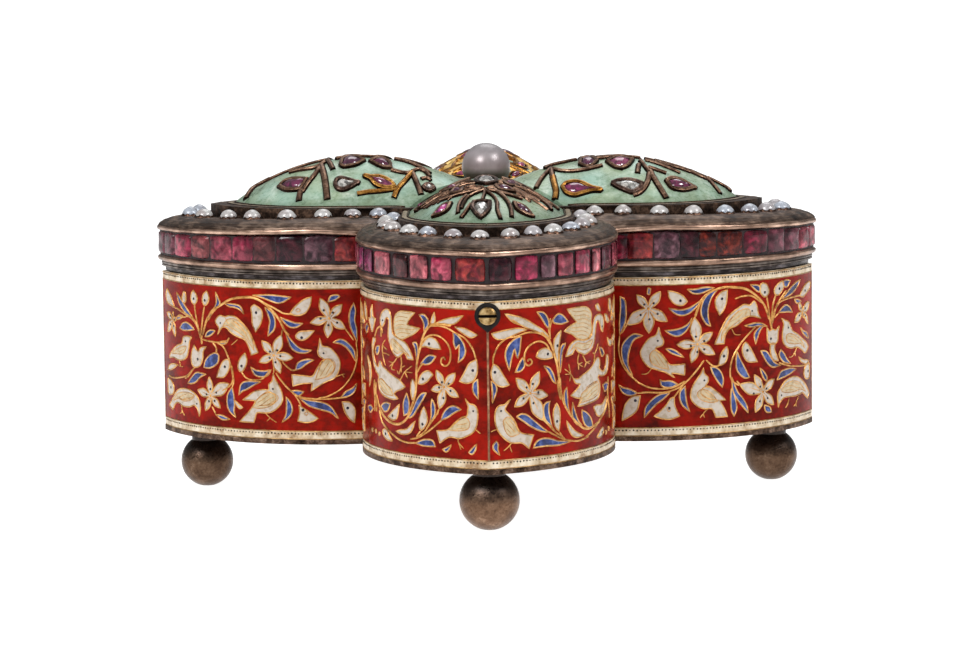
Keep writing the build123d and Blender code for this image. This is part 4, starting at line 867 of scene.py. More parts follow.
def panel(k, sign, design, cells, wires, dots):
    go = wall_map(k, sign)
    flip = sign < 0
    wire = 0.31

    def outlined(loop, width=wire):
        ribbon(wires, loop, width, 0.17, go, flip, closed=True)

    for text in design["white"]:
        loop = closed_loop(read_points(text))
        fill(cells, loop, go, flip, 0.02, 0.09, IVORY, WHITE)
        outlined(loop)
    for text in design["wing"]:
        loop = closed_loop(read_points(text))
        fill(cells, loop, go, flip, 0.06, 0.115, WING_EDGE, WING)
        outlined(loop, 0.22)
        feathers(wires, loop, go, flip)
    for text in design["blue"]:
        loop = closed_loop(read_points(text))
        fill(cells, loop, go, flip, 0.02, 0.08, PALE, BLUE, inset=0.2, core_mat=1)
        outlined(loop)
    for centre, tips, spots in design["stars"]:
        pts, c, petals = star_loop(centre, tips)
        loop = closed_loop(pts)
        fill(cells, loop, go, flip, 0.02, 0.09, IVORY, WHITE)
        outlined(loop)
        for x, y in petals:
            q = [(c[0] + (x - c[0]) * f, c[1] + (y - c[1]) * f) for f in (0.0, 0.2, 0.4, 0.62)]
            ribbon(wires, q, 0.2, 0.15, go, flip, base=0.05)
        for x, y, _ in read_points(spots):
            dome_dot(dots, x, y, 0.3, 0.2, go, flip)
        dome_dot(wires, *c, 0.34, 0.22, go, flip)
    for key, width in (("stem", 0.4), ("thick", 0.56), ("fine", 0.24)):
        for text in design[key]:
            ribbon(wires, run(read_points(text), 0.4), width, 0.19, go, flip)
    for x, y, _ in read_points(design["dots"]):
        dome_dot(dots, x, y, 0.36, 0.2, go, flip)
    for x, y, _ in read_points(design["eyes"]):
        dome_dot(dots, x, y, 0.24, 0.22, go, flip)


# ------------------------------------------------------------ lid: stones
# edges of the stones, millimetres along the outline from the crease
STONE_EDGES = {
    "front": [-55.1, -48.3, -41.6, -37.0, -31.7, -24.0, -18.6, -13.0, -7.3, 0.0,
              5.7, 11.7, 16.1, 21.3, 27.3, 31.6, 38.2, 44.3, 49.8, 55.1],
    "right": [-55.1, -52.3, -46.8, -41.3, -37.2, -33.2, -26.9, -20.0, -14.6, -9.4, -4.6, 0.0,
              5.8, 11.0, 17.2, 22.6, 28.9, 34.0, 39.6, 45.7, 50.4, 55.1],
    "back": [-55.1, -49.7, -43.9, -39.1, -32.8, -27.6, -21.9, -15.4, -10.8, -5.2, 0.0,
             6.2, 11.4, 16.6, 23.0, 28.3, 33.5, 39.9, 44.6, 49.9, 55.1],
    "left": [-55.1, -50.3, -44.4, -39.4, -33.0, -27.8, -22.2, -16.3, -11.1, -5.4, 0.0,
             4.2, 9.0, 15.5, 21.2, 27.2, 32.3, 37.3, 43.3, 49.5, 55.1],
}
# garnet and spinel colours: face, depth
GEMS = {
    "rose": ((0.242, 0.059, 0.076), (0.115, 0.022, 0.035)),
    "light_rose": ((0.346, 0.119, 0.127), (0.191, 0.050, 0.061)),
    "pink": ((0.30, 0.065, 0.095), (0.173, 0.015, 0.041)),
    "hot_pink": ((0.28, 0.032, 0.075), (0.144, 0.010, 0.035)),
    "mauve": ((0.126, 0.047, 0.061), (0.058, 0.018, 0.025)),
    "grey_mauve": ((0.139, 0.082, 0.097), (0.052, 0.022, 0.030)),
    "brown": ((0.086, 0.027, 0.028), (0.034, 0.009, 0.010)),
    "dark": ((0.043, 0.009, 0.014), (0.011, 0.002, 0.005)),
    "orange_red": ((0.215, 0.032, 0.026), (0.085, 0.008, 0.013)),
    "ember": ((0.125, 0.019, 0.010), (0.024, 0.003, 0.004)),
    "deep_rose": ((0.139, 0.014, 0.031), (0.052, 0.005, 0.012)),
    "purple_pink": ((0.196, 0.034, 0.097), (0.081, 0.015, 0.041)),
    "dull_rose": ((0.196, 0.062, 0.061), (0.098, 0.027, 0.028)),
}
STONE_LOOK = {
    "front": ["deep_rose", "rose", "purple_pink", "purple_pink", "light_rose", "brown", "light_rose", "pink", "orange_red",
              "dark", "hot_pink", "grey_mauve", "rose", "pink", "light_rose", "mauve", "rose", "deep_rose", "rose"],
    "right": ["deep_rose", "orange_red", "grey_mauve", "dark", "ember", "ember", "deep_rose", "mauve", "mauve", "rose", "rose",
              "pink", "mauve", "orange_red", "rose", "brown", "light_rose", "hot_pink", "mauve", "rose", "dark"],
    "back": ["rose", "mauve", "pink", "light_rose", "brown", "orange_red", "deep_rose", "rose", "hot_pink", "mauve",
             "light_rose", "rose", "dark", "pink", "grey_mauve", "deep_rose", "rose", "orange_red", "mauve", "rose"],
    "left": ["rose", "mauve", "deep_rose", "pink", "brown", "rose", "orange_red", "grey_mauve", "light_rose", "rose",
             "mauve", "mauve", "pink", "dull_rose", "rose", "pink", "brown", "dark", "grey_mauve", "orange_red"],
}
Z_STONES, STONES_H = 49.75, 5.2


def channel_stones(k):
    lobe = LOBES[k]
    rnd = random.Random(40 + k)
    b = Build()
    edges = STONE_EDGES[lobe]
    n = 12
    for i, (a, c) in enumerate(zip(edges, edges[1:])):
        face, deep = GEMS[STONE_LOOK[lobe][i]]
        a, c = a + rnd.uniform(0.0, 0.09), c - rnd.uniform(0.0, 0.09)
        z0 = Z_STONES + rnd.uniform(-0.05, 0.12)
        z1 = Z_STONES + STONES_H - rnd.uniform(-0.05, 0.15) + droop((a + c) / 2, k)
        half, mid = (c - a) / 2, (a + c) / 2
        zh, zm = (z1 - z0) / 2, (z0 + z1) / 2
        tilt_u, tilt_z = rnd.uniform(-0.14, 0.14), rnd.uniform(-0.12, 0.16)
        power = rnd.uniform(3.2, 5.6)
        top = rnd.uniform(0.66, 0.8)
        lean = rnd.uniform(-0.05, 0.05)
        corner = rnd.uniform(0.1, 0.34)
        shift = Vector((rnd.uniform(0, 50), rnd.uniform(0, 50), rnd.uniform(0, 50)))
        verts, tints, deeps = [], [], []
        for r in range(n + 1):
            for q in range(n + 1):
                x, y = -1 + 2 * q / n, -1 + 2 * r / n
                sx = x * sqrt(max(0.0, 1 - corner * y * y * abs(y)))
                sy = y * sqrt(max(0.0, 1 - corner * x * x * abs(x)))
                e = max(abs(x), abs(y))
                rise = (1 - e**power) ** 0.5
                o = -0.2 + 1.36 * rise
                table = top + 0.16 + tilt_u * sx + tilt_z * sy
                if o > table:
                    o = table + (o - table) * 0.3
                o += noise.noise(Vector((sx * 1.3, sy * 1.3, 0)) + shift) * 0.12 * rise
                o = min(o, 1.14)
                px, py = along(o, mid + sx * half + lean * sy, k)
                z = zm + sy * zh
                verts.append(Vector((px, py, z)) * MM)
                # painted light and shade: each stone is painted lighter towards its lower part and darker towards its
                # top and at its edges, over a random tone
                w = noise.noise(Vector((sx * 1.1, sy * 1.4, 3)) + shift)
                f = 0.95 + 0.6 * w - 0.34 * sy - 0.5 * max(0.0, e - 0.72) * 3.6
                f = max(0.3, f)
                tints.append((face[0] * f, face[1] * f, face[2] * f, 1))
                deeps.append((*deep, 1))
        faces = []
        for r in range(n):
            for q in range(n):
                p = r * (n + 1) + q
                faces.append((p, p + 1, p + n + 2, p + n + 1))
        b.add(verts, faces, 0, tints, deeps)
    return b


# ------------------------------------------------------------ lid: pearls
PEARL_U = {
    "front": [-48.6, -41.6, -34.8, -28.5, -20.7, -14.5, -7.6, -1.4, 5.2, 10.9, 16.7, 23.5, 29.9, 36.5, 42.6, 48.8],
    "right": [-49.4, -43.6, -36.1, -28.7, -21.1, -14.8, -8.7, -2.5, 4.4, 11.4, 18.5, 25.6, 32.7, 40.0, 47.4],
    "back": [-48.8, -41.8, -34.8, -27.8, -20.8, -13.8, -6.9, 0.0, 6.9, 13.8, 20.8, 27.8, 34.8, 41.8, 48.8],
    "left": [-47.8, -40.6, -33.2, -26.2, -19.0, -12.0, -5.0, 1.7, 8.4, 16.0, 22.6, 30.6, 37.9, 44.4, 49.6],
}
PEARL_LINE = -5.2
Z_LEDGE = 57.9


def pearls_and_collets(k, collets):
    rnd = random.Random(90 + k)
    b = Build()
    n, rings = 20, 9
    for u in PEARL_U[LOBES[k]]:
        du = rnd.uniform(-0.12, 0.12)
        rise = droop(u, k)
        cx, cy = along(PEARL_LINE + rnd.uniform(-0.15, 0.15), u + du, k)
        r = rnd.uniform(1.78, 2.0)
        h = rnd.uniform(1.35, 1.7)
        peak = rnd.uniform(0.0, 0.12)
        shift = Vector((rnd.uniform(0, 50), rnd.uniform(0, 50), 0))
        tone = rnd.choice([(0.42, 0.40, 0.39, 1), (0.36, 0.34, 0.35, 1), (0.35, 0.38, 0.43, 1), (0.46, 0.45, 0.44, 1)])
        verts, tints = [], []
        z0 = Z_LEDGE + 0.3 + rise
        for q in range(rings):
            a = pi / 2 * q / (rings - 1)
            for i in range(n):
                th = 2 * pi * i / n
                d = Vector((cos(a) * cos(th), cos(a) * sin(th), sin(a)))
                f = 1 + 0.05 * noise.noise(d * 1.4 + shift)
                zz = h * (sin(a) + peak * sin(a) ** 8)
                verts.append(Vector((cx + r * f * cos(a) * cos(th), cy + r * f * cos(a) * sin(th), z0 + min(zz * f, 2.0))) * MM)
                tints.append(tone)
        faces = []
        for q in range(rings - 1):
            for i in range(n):
                j = (i + 1) % n
                faces.append((q * n + i, q * n + j, (q + 1) * n + j, (q + 1) * n + i))
        b.add(verts, faces, 0, tints)
        # collet: a low cup with uneven teeth
        teeth = rnd.randint(7, 10)
        prof = [(1.28, 0.02), (1.24, 0.2), (1.16, 0.5), (1.02, 0.72), (0.96, 0.55)]
        verts = []
        m = 28
        ro = min(r * 1.08, 2.1)
        ph = rnd.uniform(0, 6)
        for f, z in prof:
            for i in range(m):
                th = 2 * pi * i / m
                notch = 0.5 + 0.5 * cos(teeth * th + ph)
                zz = z * (0.62 + 0.45 * notch) if z > 0.1 else z
                w = 1 + 0.03 * noise.noise(Vector((cos(th), sin(th), 0)) * 2 + shift)
                verts.append(Vector((cx + ro * f / 1.2 * w * cos(th), cy + ro * f / 1.2 * w * sin(th), Z_LEDGE + rise + zz)) * MM)
        faces = []
        for q in range(len(prof) - 1):
            for i in range(m):
                j = (i + 1) % m
                faces.append((q * m + i, q * m + j, (q + 1) * m + j, (q + 1) * m + i))
        collets.add(verts, faces, 0)
    return b


# ----------------------------------------------- lid: twigs and settings
# (s, t): millimetres from the lid's centre along the lobe, and across it
LEFT_SIDE = {
    "twigs": [
        ("50.8,4.0 49.9,1.8 48.8,0.1 47.4,0.3 45.8,0.1", 1.3, 0),
        ("46.0,0.1 43.6,0.1 41.4,0.1 38.7,0.1 35.7,0.1 33.6,0.1", 0.8, 0),
        ("41.5,2.5 39.3,3.3 37.2,4.2 35.5,4.2 34.1,2.6", 1.25, 0),
        ("34.8,4.2 36.0,7.0 37.4,9.3 38.6,11.3", 1.3, 0),
        ("38.8,10.4 39.1,11.9 39.2,13.3", 1.35, 0),
        ("34.9,3.7 34.1,7.6 33.6,10.8 33.2,14.2", 1.45, 0),
        ("33.5,1.2 32.7,4.6 32.2,6.5", 1.35, 0),
        ("27.0,13.1 24.7,12.7 21.8,12.4 18.9,11.8", 1.1, 1),
        ("15.6,6.5 17.0,9.4 18.4,11.6 19.3,14.0", 1.25, 1),
        ("15.6,6.5 14.7,9.2 14.1,11.2 13.6,12.9", 1.3, 0),
        ("20.0,6.5 18.1,7.0 16.6,6.9 15.4,6.1", 1.1, 0),
        ("19.5,0.5 17.4,1.0 15.5,2.2 13.7,3.4 11.8,5.3", 0.95, 0),
        ("15.6,6.1 14.4,4.7 12.9,5.1 11.8,6.9", 1.0, 0),
        ("31.8,1.5 30.0,0.1 27.7,0.1 25.5,0.1 22.9,0.1", 0.9, 0),
        ("13.7,8.3 12.6,7.6 11.6,8.2", 0.9, 0),
    ],
    "ruby": [
        ("44.0,7.2! 42.8,6.0 41.4,5.8 39.2,6.8 37.2,8.0! 38.0,9.6 39.0,10.7 40.9,10.2 42.5,9.2", 0),
        ("26.0,8.8! 24.2,8.8 22.3,8.7 20.2,9.6 18.5,11.3! 19.9,12.1 21.8,12.1 23.5,11.3 24.6,10.0", 1),
        ("31.1,5.3! 30.7,2.1 29.3,0.1 27.3,1.1 25.3,3.7! 27.0,5.7 28.6,6.3 30.1,6.4", 0),
        ("24.9,3.9! 23.5,1.7 21.8,1.4 20.1,3.5 19.7,6.3! 21.5,6.5 23.2,5.6", 0),
    ],
    "diamond": [
        ("32.1,10.7! 31.7,9.5 30.5,9.0 28.6,9.6 26.2,10.6! 28.1,11.9 29.9,12.6 31.4,12.1", 0),
        ("13.7,10.8! 12.6,9.4 11.2,9.6 10.5,10.8! 11.6,11.9 12.8,11.8", 0),
    ],
}
RIGHT_SIDE = {
    "twigs": [
        ("13.7,3.3 14.0,7.6", 1.3, 0),
        ("14.0,7.2 14.3,9.8 14.6,12.2 14.3,14.4", 1.4, 1),
        ("13.7,3.6 12.4,5.8 11.3,8.1 10.4,10.5", 1.2, 0),
        ("14.2,3.9 16.0,5.8 18.7,6.7 21.7,6.5 24.5,5.6", 1.15, 0),
        ("12.5,2.3 14.0,0.3 16.8,0.5 19.3,0.1", 0.9, 0),
        ("32.2,5.0 31.8,8.2", 1.35, 0),
        ("32.6,2.9 33.5,5.5 34.3,7.4", 1.2, 0),
        ("34.4,7.4 34.0,9.7 33.2,11.7 32.1,13.1 30.6,13.8", 1.3, 0),
        ("34.5,7.0 35.2,9.1 36.4,11.7 37.6,14.0", 1.35, 0),
        ("34.2,5.6 36.0,6.2 37.9,6.7", 0.95, 0),
        ("33.7,1.9 36.0,2.8 38.2,3.8 40.9,4.8", 0.95, 0),
        ("35.8,1.0 38.5,2.1 41.1,2.1 43.2,2.1", 0.85, 0),
        ("43.2,1.6 45.1,2.1 47.0,2.1 48.2,4.0 49.3,5.8", 1.15, 0),
        ("46.8,0.1 49.3,0.1 50.8,0.1 51.7,1.4", 0.85, 0),
        ("23.5,2.1 25.4,1.5 27.6,0.1 30.2,0.1 32.7,0.1", 0.9, 0),
    ],
    "ruby": [
        ("15.5,11.2! 16.5,10.1 18.2,9.8 20.1,10.3 22.1,11.6 24.5,12.8! 22.1,13.2 20.2,13.7 18.3,14.1 16.4,13.2", 1),
        ("19.4,4.4! 19.9,0.8 21.4,0.1 22.7,0.1 23.9,3.5! 22.8,5.7 21.1,6.2", 0),
        ("25.1,4.2! 26.7,2.1 28.6,1.0 30.5,2.5 31.5,2.6! 30.3,5.9 28.6,7.4! 26.7,6.6", 0),
        ("37.3,9.2! 38.7,7.7 40.6,7.3 42.5,7.8 44.3,8.4! 42.3,10.4 40.4,11.3 38.5,11.2", 0),
    ],
    "diamond": [
        ("25.7,11.1! 27.4,10.2 29.8,9.9 31.8,10.3 33.1,10.9! 32.4,12.6 30.6,13.7 28.8,13.1 27.1,12.2", 0),
    ],
}
FRONT_SIDE = {
    "twigs": [
        ("46.0,-3.1 47.2,-3.6 48.7,-4.3 49.7,-5.0", 0.95, 0), ("41.2,-3.9 42.8,-4.9 45.1,-5.5 47.8,-5.7", 1.0, 0),
        ("39.8,-0.4 41.0,-2.1 42.5,-3.6 44.6,-4.4 46.7,-4.9", 0.75, 0), ("39.8,-0.4 41.8,0.8 43.9,1.8 46.7,2.2", 0.75, 0),
        ("45.8,2.2 48.7,2.2 51.4,2.8", 0.95, 0), ("39.7,1.6 41.8,3.2 44.5,4.3 47.2,4.9 49.7,5.0", 1.05, 0),
        ("39.2,-0.3 41.8,-0.4 44.8,-0.8", 0.8, 0), ("39.7,-1.2 39.8,-4.1 39.2,-6.7 38.2,-9.2", 0.75, 0),
        ("36.5,-3.3 35.9,-6.3 34.8,-9.4 35.3,-11.9", 0.8, 0), ("34.0,-7.4 33.4,-10.1 33.0,-12.5 34.2,-14.3", 0.85, 0),
        ("39.8,0.6 40.6,3.4 40.7,5.4 40.6,7.2", 0.75, 0), ("37.0,4.0 37.9,6.4 39.4,8.8", 0.85, 0),
        ("33.4,5.5 33.5,7.7 33.8,10.1 35.2,12.1 37.9,13.1", 0.85, 0), ("31.5,8.1 30.8,11.2 30.6,13.2 31.6,14.6", 0.85, 0),
        ("30.1,-4.9 31.9,-2.9 34.6,-1.2", 0.8, 0), ("34.9,0.6 32.5,2.6 31.7,4.5", 0.8, 0),
        ("27.4,-9.4 26.6,-6.5 26.0,-3.2", 1.2, 0), ("26.0,3.2 26.6,6.5 27.4,9.4", 1.2, 0), ("29.4,-7.2 27.8,-4.2", 1.0, 0),
        ("27.8,4.2 29.4,7.2", 1.0, 0),
    ],
    "ruby": [
        ("42.5,-6.6! 41.5,-7.9 42.1,-9.5 44.5,-11.0! 45.5,-9.1 45.1,-7.5", 0), ("43.9,5.1! 43.6,6.6 44.3,8.2 46.6,9.6! 47.2,7.7 46.6,5.9", 0),
        ("31.5,-12.1! 31.9,-13.6 33.4,-14.6! 34.3,-13.2 33.4,-12.3", 0), ("32.4,-4.9! 31.0,-6.4 30.6,-7.7 31.2,-8.9! 33.2,-7.6 34.3,-5.9", 0),
        ("36.4,-4.3! 34.4,-5.7 34.9,-6.7 36.7,-7.4! 38.5,-5.9 38.5,-4.7", 0), ("36.8,1.4! 35.6,3.0 36.4,4.6 38.0,6.2! 39.2,4.4 39.4,2.6", 0),
        ("32.3,3.2! 28.7,4.7 28.1,5.9 31.3,6.7! 34.3,5.3 34.4,4.0", 0),
    ],
    "diamond": [("52.1,-1.1! 50.2,-2.3 47.2,-3.2 45.1,-2.8! 44.9,-0.9 45.5,1.1! 48.5,0.9 50.8,0.0", 0),
                ("36.2,0! 34.4,-1.9 31.2,-2.5 28.0,-1.6 26.6,0! 28.0,1.6 31.2,2.5 34.4,1.9", 0)],
}
TWIG_SECTION = [(-1.0, -0.25), (-0.97, 0.3), (-0.66, 0.78), (-0.2, 1.0), (0.3, 0.97), (0.72, 0.7), (0.98, 0.25), (1.0, -0.25)]


def cabochon(b, loop, low, high, go, flip, tint, rings=(1.0, 0.93, 0.78, 0.55, 0.28), power=0.6, mat=0):
    cx = sum(p[0] for p in loop) / len(loop)
    cy = sum(p[1] for p in loop) / len(loop)
    n = len(loop)
    verts = []
    for f in rings:
        h = low + (high - low) * (1 - f * f) ** power
        verts += [go(cx + (x - cx) * f, cy + (y - cy) * f, h) for x, y in loop]
    verts.append(go(cx, cy, high))
    faces = []
    for q in range(len(rings) - 1):
        for i in range(n):
            j = (i + 1) % n
            faces.append((q * n + i, q * n + j, (q + 1) * n + j, (q + 1) * n + i))
    last = (len(rings) - 1) * n
    for i in range(n):
        faces.append((last + i, last + (i + 1) % n, last + n))
    b.add(verts, faces, mat, tint, flip=flip)


def mirrored(text):
    out = []
    for s, t, c in read_points(text):
        out.append(f"{s},{-t}" + ("!" if c else ""))
    return " ".join(out)


def dome_work(k, design, side, metal, rubies, diamonds, gold=False):
    """side -1 mirrors the design across the dome's ridge."""
    go = dome_map(k)
    flip = True
    rnd = random.Random(7 * k + side + 5)
    edge = 1 if gold else 2
    for text, width, gilt in design["twigs"]:
        line = run(read_points(mirrored(text) if side < 0 else text), 0.55)
        pick = 1 if (gilt or gold) else 0
        ribbon(metal, line, width * rnd.uniform(0.92, 1.08), rnd.uniform(0.55, 0.72), go, flip, mat=[edge, edge, pick, pick, pick, edge, edge],
               base=-0.12, section=TWIG_SECTION, taper=False)
    for kind, gems in (("ruby", rubies), ("diamond", diamonds)):
        for text, gilt in design[kind]:
            loop = closed_loop(read_points(mirrored(text) if side < 0 else text), 0.55)
            pick = 1 if (gilt or gold) else (0 if kind == "ruby" else 3)
            rim = inset_loop(loop, 0.42, 0.26)
            ribbon(metal, rim, 1.02, 0.8, go, flip, closed=True, mat=[edge, pick, pick, edge],
                   base=-0.15, section=[(-1, 0), (-0.72, 0.8), (0.0, 1.0), (0.72, 0.8), (1, 0.1)])
            seat = inset_loop(loop, 0.5, 0.3)
            fill(metal, seat, go, flip, 0.2, 0.22, (1, 1, 1, 1), (1, 1, 1, 1), inset=0.1, mat=2, cut=50)
            stone = inset_loop(loop, 0.8, 0.4 if kind == "ruby" else 0.3)
            if kind == "ruby":
                tone = rnd.choice([(0.10, 0.008, 0.042, 1), (0.145, 0.012, 0.06, 1), (0.07, 0.007, 0.036, 1), (0.18, 0.03, 0.08, 1)])
                if text.startswith("42.5,-6.6"):
                    tone = (0.34, 0.042, 0.18, 1)
                cabochon(gems, stone, 0.25, 1.05, go, flip, tone)
            else:
                cut = stone[:: max(1, len(stone) // 9)]
                cabochon(gems, cut, 0.3, 0.95, go, flip, (0.6, 0.6, 0.6, 1), rings=(1.0, 0.62, 0.3), power=0.5)


def dome_rim(b, k, steps=26):
    """Beaded metal edge where the enamel dome stands on the step."""
    def go(s, t, h):
        x, y = turned(t, -s, k)
        return Vector((x, y, DOME_BASE[LOBES[k]] + h)) * MM
    for grow, width, height, mats in ((0.8, 1.7, 0.26, [2, 1, 1, 2]), (0.05, 0.5, 0.46, [2, 0, 0, 2])):
        line = []
        for i in range(9):
            line.append((16.9 + grow + (WIDEST - 16.9 - grow) * i / 8, DOME_HALF_W + grow))
        for i in range(1, steps + 1):
            s = WIDEST + (DOME_TIP - WIDEST) * sin(pi / 2 * i / steps)
            f = (s - WIDEST) / (DOME_TIP - WIDEST)
            line.append((s + grow * 1.3 * f, dome_half_width(s) + grow * (1 - f)))
        other = [(s, -t) for s, t in line]
        for part in (line, other[::-1]):
            ribbon(b, part, width, height, go, True, mat=mats, base=-0.05)


def fine_twigs(metal, k):
    """Thin twigs that lie close together over the crown of the front dome."""
    go = dome_map(k)
    rnd = random.Random(31)
    for sign in (-1, 1):
        for s, t in ((39.0, 0.2), (38.2, 0.0), (37.5, 0.5)):
            ribbon(metal, [(s, sign * t), (s - 0.8, sign * (t + 1.0)), (s - 1.5, sign * (t + 2.2)), (s - 1.6, sign * (t + 3.4))],
                   0.5, 0.42, go, True, mat=[2, 2, 0, 0, 0, 0, 2], base=-0.1, section=TWIG_SECTION, taper=False)
        for j in range(14):
            s, t = 38.8 - 0.94 * j, 1.4 + 0.17 * j + rnd.uniform(-0.3, 0.3)
            reach, bow = rnd.uniform(6.0, 11.5), rnd.uniform(0.9, 1.9)
            line = []
            for i in range(8):
                f = i / 7
                line.append((s - bow * sin(pi * 0.75 * f) + 2.0 * f * f + rnd.uniform(-0.12, 0.12), sign * (t + reach * f)))
            line = [p for p in line if abs(p[1]) < dome_half_width(p[0]) - 0.9]
            if len(line) > 3:
                ribbon(metal, line, rnd.uniform(0.44, 0.66), rnd.uniform(0.34, 0.5), go, True, mat=[2, 2, 0, 0, 0, 0, 2],
                       base=-0.1, section=TWIG_SECTION, taper=False)


def gold_foliage(metal, rubies, k):
    """Leaf plates that cover most of the far dome."""
    go = dome_map(k)
    rnd = random.Random(77)
    placed = []
    for _ in range(900):
        s, t = rnd.uniform(5.5, 50), rnd.uniform(-14.5, 14.5)
        if abs(t) > dome_half_width(s) - 2.2 or any(hypot(s - p, t - q) < 3.1 for p, q in placed):
            continue
        placed.append((s, t))
        a = rnd.uniform(0, 2 * pi)
        ln, w = rnd.uniform(2.3, 3.3), rnd.uniform(0.85, 1.35)
        loop = []
        for i in range(18):
            f = 2 * pi * i / 18
            x, y = ln * cos(f), w * sin(f) * (1 - 0.35 * cos(f))
            loop.append((s + x * cos(a) - y * sin(a), t + x * sin(a) + y * cos(a)))
        if len(placed) % 7 == 0:
            cabochon(rubies, [((x - s) * 0.6 + s, (y - t) * 0.6 + t) for x, y in loop], 0.2, 0.9, go, True, (0.24, 0.03, 0.09, 1))
            ribbon(metal, loop, 0.5, 0.6, go, True, closed=True, mat=[2, 1, 1, 2], base=-0.1,
                   section=[(-1, 0), (-0.72, 0.8), (0.0, 1.0), (0.72, 0.8), (1, 0.1)])
        else:
            cabochon(metal, loop, -0.05, rnd.uniform(0.35, 0.6), go, True, (1, 1, 1, 1), mat=4)


# ---------------------------------------------------------- lid: finial
def baroque_pearl():
    b = Build()
    n, rings = 64, 40
    r = 5.2
    verts = []
    for q in range(rings + 1):
        a = -pi / 2 + pi * q / rings
        for i in range(n):
            th = 2 * pi * i / n
            d = Vector((cos(a) * cos(th), cos(a) * sin(th), sin(a)))
            f = 1 - 0.02 * (0.5 + 0.5 * noise.noise(d * 1.5 + Vector((4, 1, 9)))) - 0.008 * (0.5 + 0.5 * noise.noise(d * 4))
            z = 67.5 + r * f * d.z
            verts.append(Vector((r * f * d.x, r * f * d.y, z)) * MM)
    faces = []
    for q in range(rings):
        for i in range(n):
            j = (i + 1) % n
            faces.append((q * n + i, q * n + j, (q + 1) * n + j, (q + 1) * n + i))
    b.add(verts, faces, 0)
    return b


# -------------------------------------------------------------- materials
def lin(r, g, b):
    def one(c):
        c /= 255
        return c / 12.92 if c <= 0.04045 else ((c + 0.055) / 1.055) ** 2.4
    return (one(r), one(g), one(b), 1.0)


class Mat:
    """Small helper round a Principled material in object space."""

    def __init__(self, name, metallic=0.0, rough=0.4, coat=0.0, coat_rough=0.05, ior=1.5, gloss=0.5):
        self.m = bpy.data.materials.new(name)
        self.m.use_nodes = True
        self.t = self.m.node_tree
        self.t.nodes.clear()
        self.out = self.t.nodes.new("ShaderNodeOutputMaterial")
        self.p = self.t.nodes.new("ShaderNodeBsdfPrincipled")
        self.t.links.new(self.p.outputs["BSDF"], self.out.inputs["Surface"])
        self.p.inputs["Metallic"].default_value = metallic
        self.p.inputs["Roughness"].default_value = rough
        self.p.inputs["Coat Weight"].default_value = coat
        self.p.inputs["Coat Roughness"].default_value = coat_rough
        self.p.inputs["IOR"].default_value = ior
        self.p.inputs["Specular IOR Level"].default_value = gloss
        self.co = self.t.nodes.new("ShaderNodeTexCoord").outputs["Object"]

    def mapped(self, scale=(1, 1, 1), offset=(0, 0, 0)):
        n = self.t.nodes.new("ShaderNodeMapping")
        n.inputs["Scale"].default_value = scale
        n.inputs["Location"].default_value = offset
        self.t.links.new(self.co, n.inputs["Vector"])
        return n.outputs["Vector"]

    def noise(self, scale, detail=4.0, rough=0.55, stretch=(1, 1, 1), offset=(0, 0, 0), distort=0.0):
        n = self.t.nodes.new("ShaderNodeTexNoise")
        n.inputs["Scale"].default_value = scale
        n.inputs["Detail"].default_value = detail
        n.inputs["Roughness"].default_value = rough
        n.inputs["Distortion"].default_value = distort
        self.t.links.new(self.mapped(stretch, offset), n.inputs["Vector"])
        return n.outputs["Fac"]

    def voronoi(self, scale, offset=(0, 0, 0), output="Distance", feature="F1"):
        n = self.t.nodes.new("ShaderNodeTexVoronoi")
        n.feature = feature
        n.inputs["Scale"].default_value = scale
        self.t.links.new(self.mapped((1, 1, 1), offset), n.inputs["Vector"])
        return n.outputs[output]

    def ramp(self, fac, *stops):
        n = self.t.nodes.new("ShaderNodeValToRGB")
        e = n.color_ramp.elements
        while len(e) < len(stops):
            e.new(0.5)
        for el, (pos, col) in zip(e, stops):
            el.position = pos
            el.color = col
        self.t.links.new(fac, n.inputs["Fac"])
        return n.outputs["Color"]

    def spread(self, fac, a, b, c, d):
        n = self.t.nodes.new("ShaderNodeMapRange")
        for key, v in (("From Min", a), ("From Max", b), ("To Min", c), ("To Max", d)):
            n.inputs[key].default_value = v
        self.t.links.new(fac, n.inputs["Value"])
        return n.outputs["Result"]

    def mix(self, fac, a, b, kind="MIX"):
        n = self.t.nodes.new("ShaderNodeMix")
        n.data_type = "RGBA"
        n.blend_type = kind
        for sock, v in ((n.inputs[0], fac), (n.inputs[6], a), (n.inputs[7], b)):
            if isinstance(v, (int, float, tuple)):
                sock.default_value = v
            else:
                self.t.links.new(v, sock)
        return n.outputs[2]

    def math(self, kind, a, b=0.0):
        n = self.t.nodes.new("ShaderNodeMath")
        n.operation = kind
        for sock, v in ((n.inputs[0], a), (n.inputs[1], b)):
            if isinstance(v, (int, float)):
                sock.default_value = v
            else:
                self.t.links.new(v, sock)
        return n.outputs[0]

    def attribute(self, name):
        n = self.t.nodes.new("ShaderNodeAttribute")
        n.attribute_name = name
        return n.outputs["Color"]

    def height(self):
        n = self.t.nodes.new("ShaderNodeSeparateXYZ")
        self.t.links.new(self.co, n.inputs[0])
        return n.outputs["Z"]

    def color(self, sock):
        self.t.links.new(sock, self.p.inputs["Base Color"])
        return self

    def roughness(self, sock):
        self.t.links.new(sock, self.p.inputs["Roughness"])
        return self

    def metal(self, sock):
        self.t.links.new(sock, self.p.inputs["Metallic"])
        return self

    def bump(self, height, strength=0.3, distance=0.0002):
        n = self.t.nodes.new("ShaderNodeBump")
        n.inputs["Strength"].default_value = strength
        n.inputs["Distance"].default_value = distance
        self.t.links.new(height, n.inputs["Height"])
        self.t.links.new(n.outputs["Normal"], self.p.inputs["Normal"])
        return self


